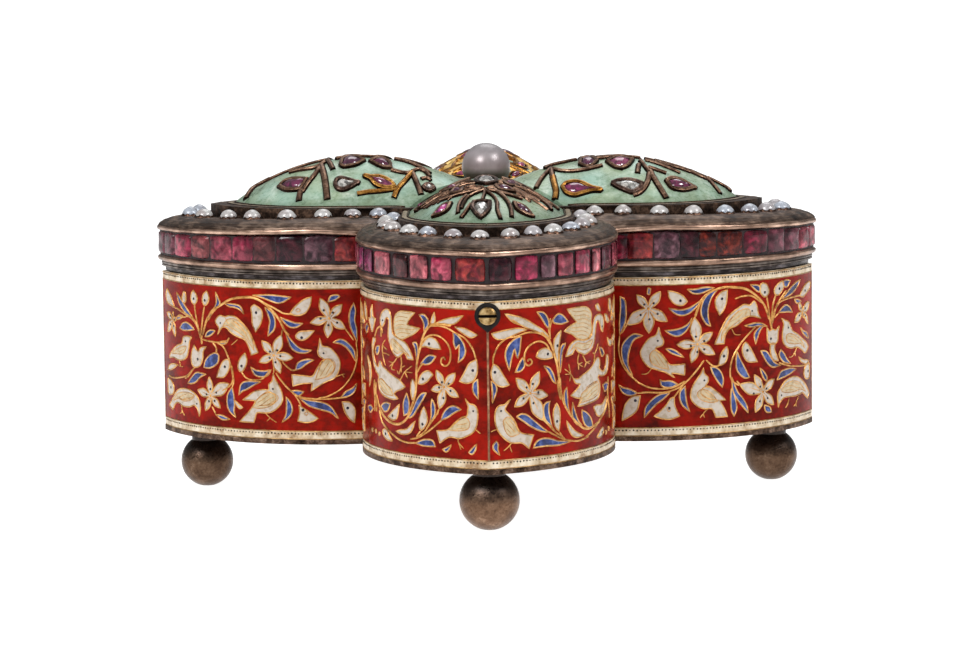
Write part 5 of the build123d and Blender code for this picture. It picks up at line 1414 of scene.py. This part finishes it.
def metal_mat(name, dark, mid, bright, scale=260, rough=(0.3, 0.55), metallic=1.0, streak=None, bump=0.35, seed=0.0):
    m = Mat(name, metallic=metallic)
    big = m.noise(scale, 6, 0.62, offset=(seed, 0, 0))
    fine = m.noise(scale * 5.5, 5, 0.6, stretch=streak or (1, 1, 1), offset=(0, seed, 0))
    both = m.math("ADD", m.math("MULTIPLY", big, 0.62), m.math("MULTIPLY", fine, 0.38))
    m.color(m.ramp(both, (0.36, lin(*dark)), (0.5, lin(*mid)), (0.66, lin(*bright))))
    m.roughness(m.spread(fine, 0.3, 0.7, *rough))
    m.bump(both, bump, 0.0003)
    return m.m


HOR = (0.18, 0.18, 3.2)  # streaks that run round the box

MATS = {}
MATS["silver"] = metal_mat("oxidised_silver", (26, 20, 17), (74, 61, 53), (132, 116, 104), rough=(0.32, 0.6))
MATS["silver_inside"] = metal_mat("silver_inside", (92, 84, 78), (140, 131, 122), (178, 170, 160), scale=120, rough=(0.3, 0.5), seed=3.0)
MATS["rim"] = metal_mat("rough_rim", (22, 15, 12), (88, 68, 56), (164, 138, 120), scale=520, rough=(0.4, 0.75), bump=0.8, seed=1.0)
MATS["shoulder"] = metal_mat("brushed_shoulder", (36, 27, 23), (88, 71, 61), (152, 130, 114), scale=300, rough=(0.32, 0.6),
                             streak=(0.25, 0.25, 2.0), bump=0.8, seed=2.0)
MATS["step"] = metal_mat("dark_step", (22, 16, 14), (66, 52, 44), (134, 106, 88), scale=420, rough=(0.35, 0.7), bump=0.7, seed=5.0)
MATS["band"] = metal_mat("grey_band", (22, 19, 19), (58, 51, 50), (128, 120, 122), scale=300, rough=(0.16, 0.42), streak=HOR, bump=0.5, seed=6.0)
MATS["skirt"] = metal_mat("grey_skirt", (34, 29, 27), (86, 76, 70), (150, 138, 130), scale=300, rough=(0.25, 0.5), streak=HOR, bump=0.5, seed=21.0)
MATS["bead"] = metal_mat("worn_bead", (70, 53, 45), (150, 121, 104), (226, 192, 170), scale=170, rough=(0.24, 0.46), streak=HOR, bump=0.4, seed=7.0)
MATS["copper"] = metal_mat("coppery_collet", (20, 14, 11), (66, 49, 41), (142, 108, 90), scale=380, rough=(0.25, 0.5), bump=0.6, seed=8.0)
MATS["gilt"] = metal_mat("gilt_wire", (116, 70, 28), (204, 146, 74), (240, 196, 124), scale=420, rough=(0.3, 0.5), metallic=0.55, bump=0.2, seed=9.0)
MATS["twig"] = metal_mat("twig_bronze", (54, 37, 29), (118, 89, 71), (184, 150, 125), scale=420, rough=(0.28, 0.5), bump=0.5, seed=10.0)
MATS["twig_gilt"] = metal_mat("twig_gilt", (94, 56, 20), (168, 115, 52), (222, 172, 96), scale=420, rough=(0.24, 0.44), bump=0.4, seed=11.0)
MATS["twig_dark"] = metal_mat("twig_edge", (12, 7, 5), (38, 24, 18), (78, 54, 42), scale=500, rough=(0.4, 0.7), bump=0.4, seed=12.0)
MATS["setting"] = metal_mat("dark_setting", (26, 18, 16), (84, 64, 56), (168, 138, 120), scale=500, rough=(0.25, 0.5), bump=0.5, seed=13.0)
MATS["border_edge"] = metal_mat("border_edge", (80, 54, 26), (150, 112, 62), (212, 174, 112), scale=500, rough=(0.3, 0.5), metallic=0.5, bump=0.3, seed=19.0)
MATS["crease"] = metal_mat("crease_wire", (78, 42, 28), (138, 94, 64), (188, 150, 112), scale=500, rough=(0.35, 0.55), metallic=0.3, bump=0.3, seed=20.0)
MATS["brass_plain"] = metal_mat("brass_inside", (132, 100, 48), (186, 150, 84), (222, 192, 128), scale=300, rough=(0.25, 0.4), bump=0.2, seed=15.0)
MATS["black"] = metal_mat("black_iron", (5, 4, 4), (16, 13, 12), (44, 36, 32), scale=700, rough=(0.35, 0.6), metallic=0.6, bump=0.4, seed=16.0)
MATS["spring"] = metal_mat("spring_steel", (108, 108, 112), (158, 158, 162), (200, 200, 204), scale=400, rough=(0.2, 0.35), bump=0.1, seed=17.0)
MATS["leaf_gold"] = metal_mat("leaf_gold", (156, 134, 68), (228, 184, 104), (250, 218, 140), scale=300, rough=(0.35, 0.55), metallic=0.3, bump=0.3, seed=23.0)
MATS["bed"] = metal_mat("channel_bed", (8, 3, 4), (30, 14, 16), (66, 38, 40), scale=500, rough=(0.45, 0.7), metallic=0.2, bump=0.5, seed=24.0)
MATS["flange"] = metal_mat("dome_flange", (72, 54, 42), (132, 118, 96), (178, 160, 138), scale=420, rough=(0.35, 0.6), metallic=0.3, bump=0.6, seed=22.0)
MATS["joint"] = metal_mat("dark_joint", (8, 6, 6), (30, 22, 18), (96, 70, 46), scale=500, rough=(0.3, 0.6), bump=0.5, seed=18.0)


def foot_mat(name, painted_brightness):
    m = Mat(name, metallic=1.0)
    big = m.noise(330, 7, 0.66, distort=0.4)
    fine = m.noise(1900, 4, 0.6)
    both = m.math("ADD", m.math("MULTIPLY", big, 0.62), m.math("MULTIPLY", fine, 0.38))
    col = m.ramp(both, (0.3, lin(66 * painted_brightness, 48 * painted_brightness, 37 * painted_brightness)), (0.45, lin(98 * painted_brightness, 74 * painted_brightness, 58 * painted_brightness)),
                 (0.56, lin(122 * painted_brightness, 95 * painted_brightness, 76 * painted_brightness)), (0.7, lin(162 * painted_brightness, 134 * painted_brightness, 112 * painted_brightness)))
    # painted shade and painted reflection: the upper part of each ball is painted dark grey, for the shade under the
    # box and its dark underside reflected there
    top = m.spread(m.height(), 0.0056, 0.0088, 0.0, 0.9)
    col = m.mix(top, col, lin(52, 48, 47))
    m.color(col)
    m.roughness(m.spread(fine, 0.3, 0.7, 0.22, 0.5))
    m.bump(both, 0.5, 0.0004)
    return m.m


def red_mat():
    m = Mat("red_enamel", rough=0.22, ior=1.38, gloss=0.08)
    big = m.noise(95, 4, 0.55, distort=0.3)
    fine = m.noise(900, 3, 0.6)
    both = m.math("ADD", m.math("MULTIPLY", big, 0.66), m.math("MULTIPLY", fine, 0.34))
    col = m.ramp(both, (0.34, lin(68, 10, 4)), (0.5, lin(105, 16, 5)), (0.64, lin(144, 20, 7)))
    # painted light: the red is painted brighter towards the top of the wall
    up = m.spread(m.height(), 0.036, 0.0445, 0.0, 0.3)
    col = m.mix(up, col, lin(140, 17, 7))
    # painted glints: streaky patches painted a brighter red, stronger towards the top
    painted_glint = m.spread(m.noise(130, 4, 0.6, stretch=(1, 1, 2.4), offset=(3, 1, 0)), 0.47, 0.6, 0.0, 1.0)
    where = m.spread(m.height(), 0.012, 0.043, 0.34, 0.5)
    col = m.mix(m.math("MULTIPLY", painted_glint, where), col, lin(168, 22, 8))
    m.color(col)
    m.roughness(m.spread(fine, 0.3, 0.7, 0.12, 0.26))
    m.bump(m.noise(240, 3, 0.5), 0.25, 0.0003)
    return m.m


def cream_mat():
    m = Mat("cream_enamel", rough=0.34, gloss=0.4)
    big = m.noise(420, 5, 0.6)
    col = m.ramp(big, (0.34, lin(150, 118, 82)), (0.5, lin(200, 180, 150)), (0.66, lin(222, 210, 190)))
    m.color(col)
    m.roughness(m.spread(big, 0.3, 0.7, 0.22, 0.42))
    m.bump(big, 0.2, 0.0002)
    return m.m


def cell_mat():
    m = Mat("white_enamel", rough=0.28, gloss=0.4)
    base = m.attribute("tint")
    patch = m.noise(620, 4, 0.6)
    shade = m.ramp(patch, (0.34, (0.74, 0.65, 0.52, 1)), (0.5, (0.95, 0.91, 0.88, 1)), (0.7, (1.03, 1.02, 1.02, 1)))
    m.color(m.mix(1.0, base, shade, "MULTIPLY"))
    m.roughness(m.spread(patch, 0.3, 0.7, 0.2, 0.4))
    m.bump(m.noise(1200, 3, 0.6), 0.2, 0.0001)
    return m.m


def blue_mat():
    m = Mat("blue_enamel", rough=0.26, gloss=0.3)
    n = m.noise(520, 4, 0.6)
    m.color(m.ramp(n, (0.34, lin(22, 24, 58)), (0.5, lin(44, 60, 118)), (0.66, lin(86, 103, 156))))
    m.roughness(m.spread(n, 0.3, 0.7, 0.16, 0.34))
    m.bump(n, 0.15, 0.0001)
    return m.m


def dot_mat():
    m = Mat("dark_dots", rough=0.22, gloss=0.4)
    n = m.noise(900, 3, 0.5)
    m.color(m.ramp(n, (0.35, lin(10, 8, 22)), (0.65, lin(34, 26, 44))))
    m.roughness(m.spread(n, 0.3, 0.7, 0.15, 0.3))
    m.bump(n, 0.1, 0.0001)
    return m.m


def green_mat():
    m = Mat("green_enamel", rough=0.34, coat=0.12, coat_rough=0.2, gloss=0.35)
    big = m.noise(190, 6, 0.62, distort=0.6)
    fine = m.noise(1100, 5, 0.65)
    cloud = m.noise(120, 3, 0.5, offset=(4, 2, 0))
    both = m.math("ADD", m.math("MULTIPLY", big, 0.62), m.math("MULTIPLY", fine, 0.38))
    col = m.ramp(both, (0.34, lin(88, 106, 88)), (0.47, lin(124, 146, 124)), (0.56, lin(148, 168, 150)), (0.68, lin(204, 210, 200)))
    veil = m.ramp(cloud, (0.42, (0, 0, 0, 1)), (0.62, (1, 1, 1, 1)))
    col = m.mix(m.math("MULTIPLY", veil, 0.35), col, lin(160, 172, 132))
    pale = m.spread(m.noise(85, 3, 0.5, offset=(9, 5, 1)), 0.48, 0.62, 0.0, 0.45)
    col = m.mix(pale, col, lin(152, 190, 178))
    # painted shade: the green is darkened towards the foot of the dome, where it meets the rim
    low = m.spread(m.height(), 0.0606, 0.0622, 0.55, 0.0)
    col = m.mix(low, col, lin(84, 104, 76))
    m.color(col)
    m.roughness(m.spread(fine, 0.3, 0.7, 0.2, 0.42))
    m.bump(both, 0.35, 0.0003)
    return m.m


def garnet_mat():
    m = Mat("garnet", rough=0.2, ior=1.76, gloss=0.14)
    face, deep = m.attribute("tint"), m.attribute("deep")
    streak = m.noise(330, 5, 0.6, distort=1.4)
    cloud = m.noise(430, 4, 0.5, distort=0.9, offset=(7, 2, 5))
    col = m.mix(m.spread(streak, 0.40, 0.56, 0.0, 1.0), deep, face)
    # painted reflections: random patches painted from a fifth up to more than twice the stone's colour stand in for its
    # internal reflections
    gain = m.ramp(cloud, (0.32, (0.22, 0.14, 0.18, 1)), (0.47, (0.8, 0.6, 0.66, 1)), (0.57, (1.25, 0.96, 1.04, 1)), (0.7, (2.4, 1.95, 2.1, 1)))
    m.color(m.mix(1.0, col, gain, "MULTIPLY"))
    m.roughness(m.spread(m.noise(900, 3, 0.5), 0.3, 0.7, 0.13, 0.34))
    m.bump(m.noise(420, 2, 0.5, distort=0.5), 0.25, 0.0003)
    return m.m


def gem_mat():
    m = Mat("ruby", rough=0.08, coat=0.3, coat_rough=0.02, ior=1.77)
    face = m.attribute("tint")
    n = m.noise(700, 4, 0.6, distort=1.0)
    # painted highlights: random patches painted up to almost twice the stone's colour, others darker
    shade = m.ramp(n, (0.36, (0.35, 0.3, 0.4, 1)), (0.52, (1.0, 1.0, 1.0, 1)), (0.66, (1.7, 1.9, 1.7, 1)))
    m.color(m.mix(1.0, face, shade, "MULTIPLY"))
    m.roughness(m.spread(n, 0.3, 0.7, 0.06, 0.16))
    m.bump(n, 0.1, 0.0001)
    return m.m


def diamond_mat():
    m = Mat("diamond", rough=0.06, metallic=0.0, coat=1.0, coat_rough=0.02, ior=2.3)
    cells = m.voronoi(1500, output="Color")
    sep = m.t.nodes.new("ShaderNodeSeparateColor")
    m.t.links.new(cells, sep.inputs[0])
    # painted reflections: each facet cell is painted from dark grey to near white
    m.color(m.ramp(sep.outputs[0], (0.0, lin(66, 62, 60)), (0.45, lin(128, 126, 120)), (1.0, lin(226, 222, 216))))
    m.roughness(m.spread(m.noise(1400, 2, 0.5), 0.3, 0.7, 0.04, 0.2))
    m.bump(sep.outputs[0], 0.6, 0.0003)
    return m.m


def pearl_mat():
    m = Mat("pearl", rough=0.32, coat=0.35, coat_rough=0.2, ior=1.6, metallic=0.15)
    base = m.attribute("tint")
    n = m.noise(420, 4, 0.55, distort=0.5)
    shade = m.ramp(n, (0.36, (0.80, 0.72, 0.72, 1)), (0.52, (1.0, 1.0, 1.0, 1)), (0.66, (1.1, 1.1, 1.12, 1)))
    m.color(m.mix(1.0, base, shade, "MULTIPLY"))
    m.p.inputs["Sheen Weight"].default_value = 0.15
    m.roughness(m.spread(n, 0.3, 0.7, 0.24, 0.42))
    m.bump(n, 0.15, 0.0002)
    return m.m


def grey_pearl_mat():
    m = Mat("grey_pearl", rough=0.3, coat=0.25, coat_rough=0.2, ior=1.6, metallic=0.3)
    n = m.noise(150, 5, 0.55, distort=0.8)
    # painted shade and painted reflection: the lower part of the pearl is painted dark brown for the shade under it and
    # the domes it reflects, the upper part light grey and a little darker at the very top
    up = m.spread(m.height(), 0.0625, 0.0727, 0.0, 1.0)
    tone = m.ramp(up, (0.0, lin(30, 18, 12)), (0.36, lin(62, 42, 32)), (0.5, lin(146, 130, 130)), (0.8, lin(150, 142, 144)), (1.0, lin(134, 130, 132)))
    shade = m.ramp(n, (0.36, (0.78, 0.74, 0.74, 1)), (0.52, (1.0, 1.0, 1.0, 1)), (0.66, (1.12, 1.1, 1.12, 1)))
    m.color(m.mix(1.0, tone, shade, "MULTIPLY"))
    m.roughness(m.spread(n, 0.3, 0.7, 0.34, 0.46))
    m.bump(n, 0.05, 0.0004)
    return m.m




def brass_head_mat():
    m = Mat("brass_head", metallic=1.0)
    n = m.noise(600, 5, 0.6)
    col = m.ramp(n, (0.36, lin(96, 70, 36)), (0.5, lin(164, 132, 84)), (0.66, lin(216, 188, 138)))
    # painted shade: a narrow band at the slot is painted near black
    off = m.math("ABSOLUTE", m.math("SUBTRACT", m.height(), 0.0434))
    slot = m.spread(off, 0.00026, 0.00034, 1.0, 0.0)
    m.color(m.mix(slot, col, lin(16, 11, 8)))
    m.roughness(m.spread(n, 0.3, 0.7, 0.22, 0.45))
    m.bump(n, 0.3, 0.0002)
    return m.m


MATS["brass"] = brass_head_mat()
# painted light and shade: the front and back feet get a copy painted a little lighter, the side feet a copy painted
# darker
MATS["foot"] = foot_mat("foot_silver", 1.04)
MATS["foot_painted_shade"] = foot_mat("foot_silver_painted_shade", 0.84)
MATS["red"] = red_mat()
MATS["cream"] = cream_mat()
MATS["cell"] = cell_mat()
MATS["blue"] = blue_mat()
MATS["dots"] = dot_mat()
MATS["green"] = green_mat()
MATS["garnet"] = garnet_mat()
MATS["ruby"] = gem_mat()
MATS["diamond"] = diamond_mat()
MATS["pearl"] = pearl_mat()
MATS["grey_pearl"] = grey_pearl_mat()


# ----------------------------------------------------------- CAD surfaces
CAD_LOOK = {
    "base_plate": "rim", "body_collar": "silver_inside", "corner_strips": "joint", "foot_nuts": "silver",
    "body_hinge": "silver", "lid_hinge": "silver", "hinge_pin": "silver", "catch_guide": "silver_inside",
    "lid_keeper": "silver_inside", "finial_stud": "silver", "finial_nut": "silver", "finial_cup": "setting",
    "catch_socket": "black", "catch_button": "brass", "latch_bar": "brass_plain", "catch_spring": "spring",
    "crease_wires": "crease", "upper_border": "cream", "lower_border": "cream", "lid_frame": "band",
    "lid_cover": "step", "lid_step": "step", "lower_moulding": "bead", "upper_moulding": "bead",
    "pearl_collets": "copper", "dome_rubies": "ruby", "dome_diamonds": "diamond", "finial_pearl": "grey_pearl",
}
for lobe in LOBES:
    CAD_LOOK[f"wall_{lobe}"] = "silver_inside"
    CAD_LOOK[f"enamel_{lobe}"] = "red"
    # the side feet take the copy painted darker, as painted shade
    CAD_LOOK[f"foot_{lobe}"] = "foot" if lobe in ("front", "back") else "foot_painted_shade"
    CAD_LOOK[f"channel_stones_{lobe}"] = "garnet"
    CAD_LOOK[f"pearls_{lobe}"] = "pearl"
    CAD_LOOK[f"enamel_dome_{lobe}"] = "green"
    CAD_LOOK[f"branchwork_{lobe}"] = "twig"
for name, ob in NODES.items():
    ob.data.materials.clear()
    ob.data.materials.append(MATS[CAD_LOOK[name]])

# ------------------------------------------------------------------ walls
dots = Build()
DESIGNS = {(0, -1): FL_FULL, (0, 1): FR_FULL, (3, 1): L, (3, -1): R, (1, -1): R, (1, 1): L, (2, -1): FL_FULL, (2, 1): FR_FULL}
for k, lobe in enumerate(LOBES):
    cells, wires = Build(), Build()
    for sign in (-1, 1):
        panel(k, sign, DESIGNS[k, sign], cells, wires, dots)
    cells.piece(f"panel_enamel_{lobe}", [MATS["cell"], MATS["blue"]], "case", "white_enamel", colours=True, sharp=40)
    wires.piece(f"panel_gilt_{lobe}", MATS["gilt"], "case", "gilt", sharp=60)
dots.piece("panel_dots", MATS["dots"], "case", "black_iron", sharp=60)

# dotted lines and gilt edges of the two borders
border_dots = Build()
rnd = random.Random(3)
for k in range(4):
    for sign in (-1, 1):
        go = wall_map(k, sign)
        for z, gap, r in ((45.62, 0.7, 0.22), (14.35, 0.74, 0.2)):
            u = 0.9
            while u < 54.4:
                if k == 0 and z > 40 and u < 2.9:
                    u = 2.9
                dome_dot(border_dots, u, z + rnd.uniform(-0.05, 0.05), r * rnd.uniform(0.75, 1.15), 0.15, go, sign < 0, n=6)
                u += gap * rnd.uniform(0.92, 1.08)
border_dots.piece("border_dots", MATS["joint"], "case", "black_iron", sharp=60)
edges = Build()
for z in (46.02, 44.55, 14.85, 13.22):
    loop_sweep(edges, [(-0.1, z - 0.12), (0.08, z - 0.1), (0.14, z), (0.08, z + 0.1), (-0.1, z + 0.12)], steps=44, wobble=0.02, seed=z,
               skip=2.6 if z == 44.55 else 0.0)
edges.piece("border_wires", MATS["border_edge"], "case", "gilt", sharp=50)

# -------------------------------------------------------------------- lid
beads = Build()
loop_sweep(beads, [(-0.6, 48.34), (0.05, 48.32), (0.5, 48.46), (0.82, 48.78), (0.95, 49.15), (0.86, 49.45), (0.62, 49.66),
                   (0.2, 49.76), (-0.6, 49.76)], steps=60, wobble=0.09, seed=1.0)
beads.piece("lower_bead", MATS["bead"], "lid", "worn_moulding", replaces=("lower_moulding",), sharp=50)
skirt = Build()
loop_sweep(skirt, [(-0.7, 47.2), (-0.06, 47.22), (0.16, 47.34), (0.2, 47.6), (0.02, 47.72), (0.16, 47.84), (0.2, 48.1), (0.1, 48.4),
                   (-0.7, 48.4)], steps=60, wobble=0.06, seed=2.0)
skirt.piece("lid_skirt", MATS["skirt"], "lid", "oxidised_silver", sharp=50)
lip = Build()
loop_sweep(lip, [(-1.2, 12.12), (-0.1, 12.13), (0.1, 12.3), (0.12, 12.6), (0.02, 12.86), (-0.25, 13.0), (-1.2, 13.05)], steps=110,
           seed=3.0, ragged=0.16)
lip.piece("rough_lip", MATS["rim"], "case", "oxidised_silver", sharp=60)
beads = Build()
loop_sweep(beads, [(-0.6, 54.8), (0.3, 54.84), (0.72, 54.96), (0.94, 55.18), (1.0, 55.46), (0.94, 55.76), (0.74, 55.98),
                   (0.3, 56.1), (-0.6, 56.1)], steps=60, wobble=0.09, seed=4.0, sag=1.0)
beads.piece("upper_bead", MATS["bead"], "lid", "worn_moulding", replaces=("upper_moulding",), sharp=50)
skin = Build()
slope = [(0.74, 56.1), (0.52, 56.5), (0.0, 56.92), (-0.7, 57.28), (-1.4, 57.5), (-2.2, 57.78), (-2.9, 57.93)]
brushed = []
rnd = random.Random(12)
for (o0, z0), (o1, z1) in zip(slope, slope[1:]):
    for i in range(4):
        f = i / 4
        brushed.append((o0 + (o1 - o0) * f, z0 + (z1 - z0) * f - rnd.choice((0.0, 0.0, 0.03, 0.07))))
loop_sweep(skin, [(0.62, 55.85)] + brushed + [(-2.9, 57.93), (-4.2, 57.95), (-6.3, 57.95), (-6.3, 57.2), (-4.0, 57.0), (-0.6, 56.2),
                                              (-0.5, 55.7)], steps=60, wobble=0.07, seed=9.0, sag=1.0)
skin.piece("shoulder_skin", MATS["shoulder"], "lid", "oxidised_silver", sharp=40)

bed = Build()
loop_sweep(bed, [(-0.35, 49.6), (0.42, 49.62), (0.42, 55.2), (-0.35, 55.3)], steps=40, wobble=0.03, seed=11.0)
bed.piece("channel_bed", MATS["bed"], "lid", "oxidised_silver", sharp=50)

collets = Build()
for k, lobe in enumerate(LOBES):
    channel_stones(k).piece(f"stones_{lobe}", MATS["garnet"], "lid", "garnet", replaces=(f"channel_stones_{lobe}",), colours=True, sharp=32)
    pearls_and_collets(k, collets).piece(f"half_pearls_{lobe}", MATS["pearl"], "lid", "pearl", replaces=(f"pearls_{lobe}",), colours=True)
collets.piece("collets", MATS["copper"], "lid", "oxidised_silver", replaces=("pearl_collets",), sharp=50)

rubies, diamonds, rims = Build(), Build(), Build()
for k, lobe in enumerate(LOBES):
    metal = Build()
    if k == 0:
        dome_work(k, FRONT_SIDE, 1, metal, rubies, diamonds)
        fine_twigs(metal, k)
    elif k == 3:
        dome_work(k, LEFT_SIDE, 1, metal, rubies, diamonds)
        dome_work(k, LEFT_SIDE, -1, metal, rubies, diamonds)
    elif k == 1:
        dome_work(k, RIGHT_SIDE, -1, metal, rubies, diamonds)
        dome_work(k, RIGHT_SIDE, 1, metal, rubies, diamonds)
    else:
        dome_work(k, LEFT_SIDE, 1, metal, rubies, diamonds, gold=True)
        dome_work(k, RIGHT_SIDE, -1, metal, rubies, diamonds, gold=True)
        gold_foliage(metal, rubies, k)
    metal.piece(f"twigs_{lobe}", [MATS["twig"], MATS["twig_gilt"], MATS["twig_dark"], MATS["setting"]] + ([MATS["leaf_gold"]] if k == 2 else []), "lid", "twig_bronze",
                replaces=(f"branchwork_{lobe}",), sharp=50)
    dome_rim(rims, k)
rims.piece("dome_rims", [MATS["copper"], MATS["flange"], MATS["twig_dark"]], "lid", "oxidised_silver", sharp=50)
rubies.piece("rubies", MATS["ruby"], "lid", "ruby", replaces=("dome_rubies",), colours=True, sharp=40)
diamonds.piece("diamonds", MATS["diamond"], "lid", "diamond", replaces=("dome_diamonds",), colours=True, smooth=False)
baroque_pearl().piece("large_pearl", MATS["grey_pearl"], "lid", "grey_pearl", replaces=("finial_pearl",))

# --------------------------------------------------- camera, light, floor
scene = bpy.context.scene
cam_data = bpy.data.cameras.new("camera")
cam = bpy.data.objects.new("camera", cam_data)
scene.collection.objects.link(cam)
pitch, roll = radians(6.57), radians(-0.63)
forward = Vector((0, cos(pitch), -sin(pitch)))
up = Vector((0, sin(pitch), cos(pitch)))
right = Vector((1, 0, 0))
cx_ = right * cos(roll) + up * sin(roll)
cy_ = up * cos(roll) - right * sin(roll)
cam.matrix_world = Matrix((
    (cx_.x, cy_.x, -forward.x, 0.00047),
    (cx_.y, cy_.y, -forward.y, -0.779),
    (cx_.z, cy_.z, -forward.z, 0.123),
    (0, 0, 0, 1),
))
cam_data.sensor_fit = "HORIZONTAL"
cam_data.sensor_width = 36
cam_data.lens = 3674 / 980 * 36
cam_data.clip_start = 0.01
cam_data.clip_end = 50
scene.camera = cam

world = bpy.data.worlds.new("studio")
scene.world = world
world.use_nodes = True
wt = world.node_tree
wt.nodes.clear()
w_out = wt.nodes.new("ShaderNodeOutputWorld")
w_bg = wt.nodes.new("ShaderNodeBackground")
w_co = wt.nodes.new("ShaderNodeTexCoord")
w_sep = wt.nodes.new("ShaderNodeSeparateXYZ")
w_map = wt.nodes.new("ShaderNodeMapRange")
wt.links.new(w_co.outputs["Generated"], w_sep.inputs[0])
wt.links.new(w_sep.outputs["Z"], w_map.inputs["Value"])
w_map.inputs["From Min"].default_value = 0.0
w_map.inputs["From Max"].default_value = 1.0
w_map.inputs["To Min"].default_value = 0.3
w_map.inputs["To Max"].default_value = 0.36
wt.links.new(w_map.outputs["Result"], w_bg.inputs["Strength"])
w_bg.inputs["Color"].default_value = (1.0, 1.0, 1.0, 1)
wt.links.new(w_bg.outputs[0], w_out.inputs[0])


def softbox(name, place, size, power, aim=(0, 0, 0.04)):
    data = bpy.data.lights.new(name, "AREA")
    data.shape = "SQUARE"
    data.size = size
    data.energy = power
    ob = bpy.data.objects.new(name, data)
    scene.collection.objects.link(ob)
    ob.location = place
    ob.rotation_mode = "QUATERNION"
    ob.rotation_quaternion = (Vector(aim) - Vector(place)).to_track_quat("-Z", "Y")


softbox("light_left", (-0.62, -0.84, 0.95), 0.45, 12.6)
softbox("light_right", (0.92, -0.47, 1.12), 0.4, 10.4)
softbox("light_back", (0.1, 1.1, 1.5), 0.9, 7)

floor = bpy.data.meshes.new("floor")
bm = bmesh.new()
bmesh.ops.create_grid(bm, x_segments=8, y_segments=8, size=9.0)
bm.to_mesh(floor)
bm.free()
floor_ob = bpy.data.objects.new("floor", floor)
scene.collection.objects.link(floor_ob)
fm = Mat("floor", rough=0.9)
fm.color(fm.ramp(fm.noise(3, 2, 0.5), (0.3, (0.38, 0.38, 0.38, 1)), (0.7, (0.4, 0.4, 0.4, 1))))
fm.p.inputs["Specular IOR Level"].default_value = 0.0
# painted light: the floor glows by its own emission, at full strength from just in front of the box backwards and
# weaker further in front
f_sep = fm.t.nodes.new("ShaderNodeSeparateXYZ")
fm.t.links.new(fm.co, f_sep.inputs[0])
fm.t.links.new(fm.spread(f_sep.outputs["Y"], -0.5, -0.19, 0.6, 1.0), fm.p.inputs["Emission Strength"])
fm.p.inputs["Emission Color"].default_value = (0.98, 0.98, 0.98, 1)
floor.materials.append(fm.m)
scene.view_settings.view_transform = "Standard"
scene.view_settings.look = "None"
scene.view_settings.exposure = 0.0
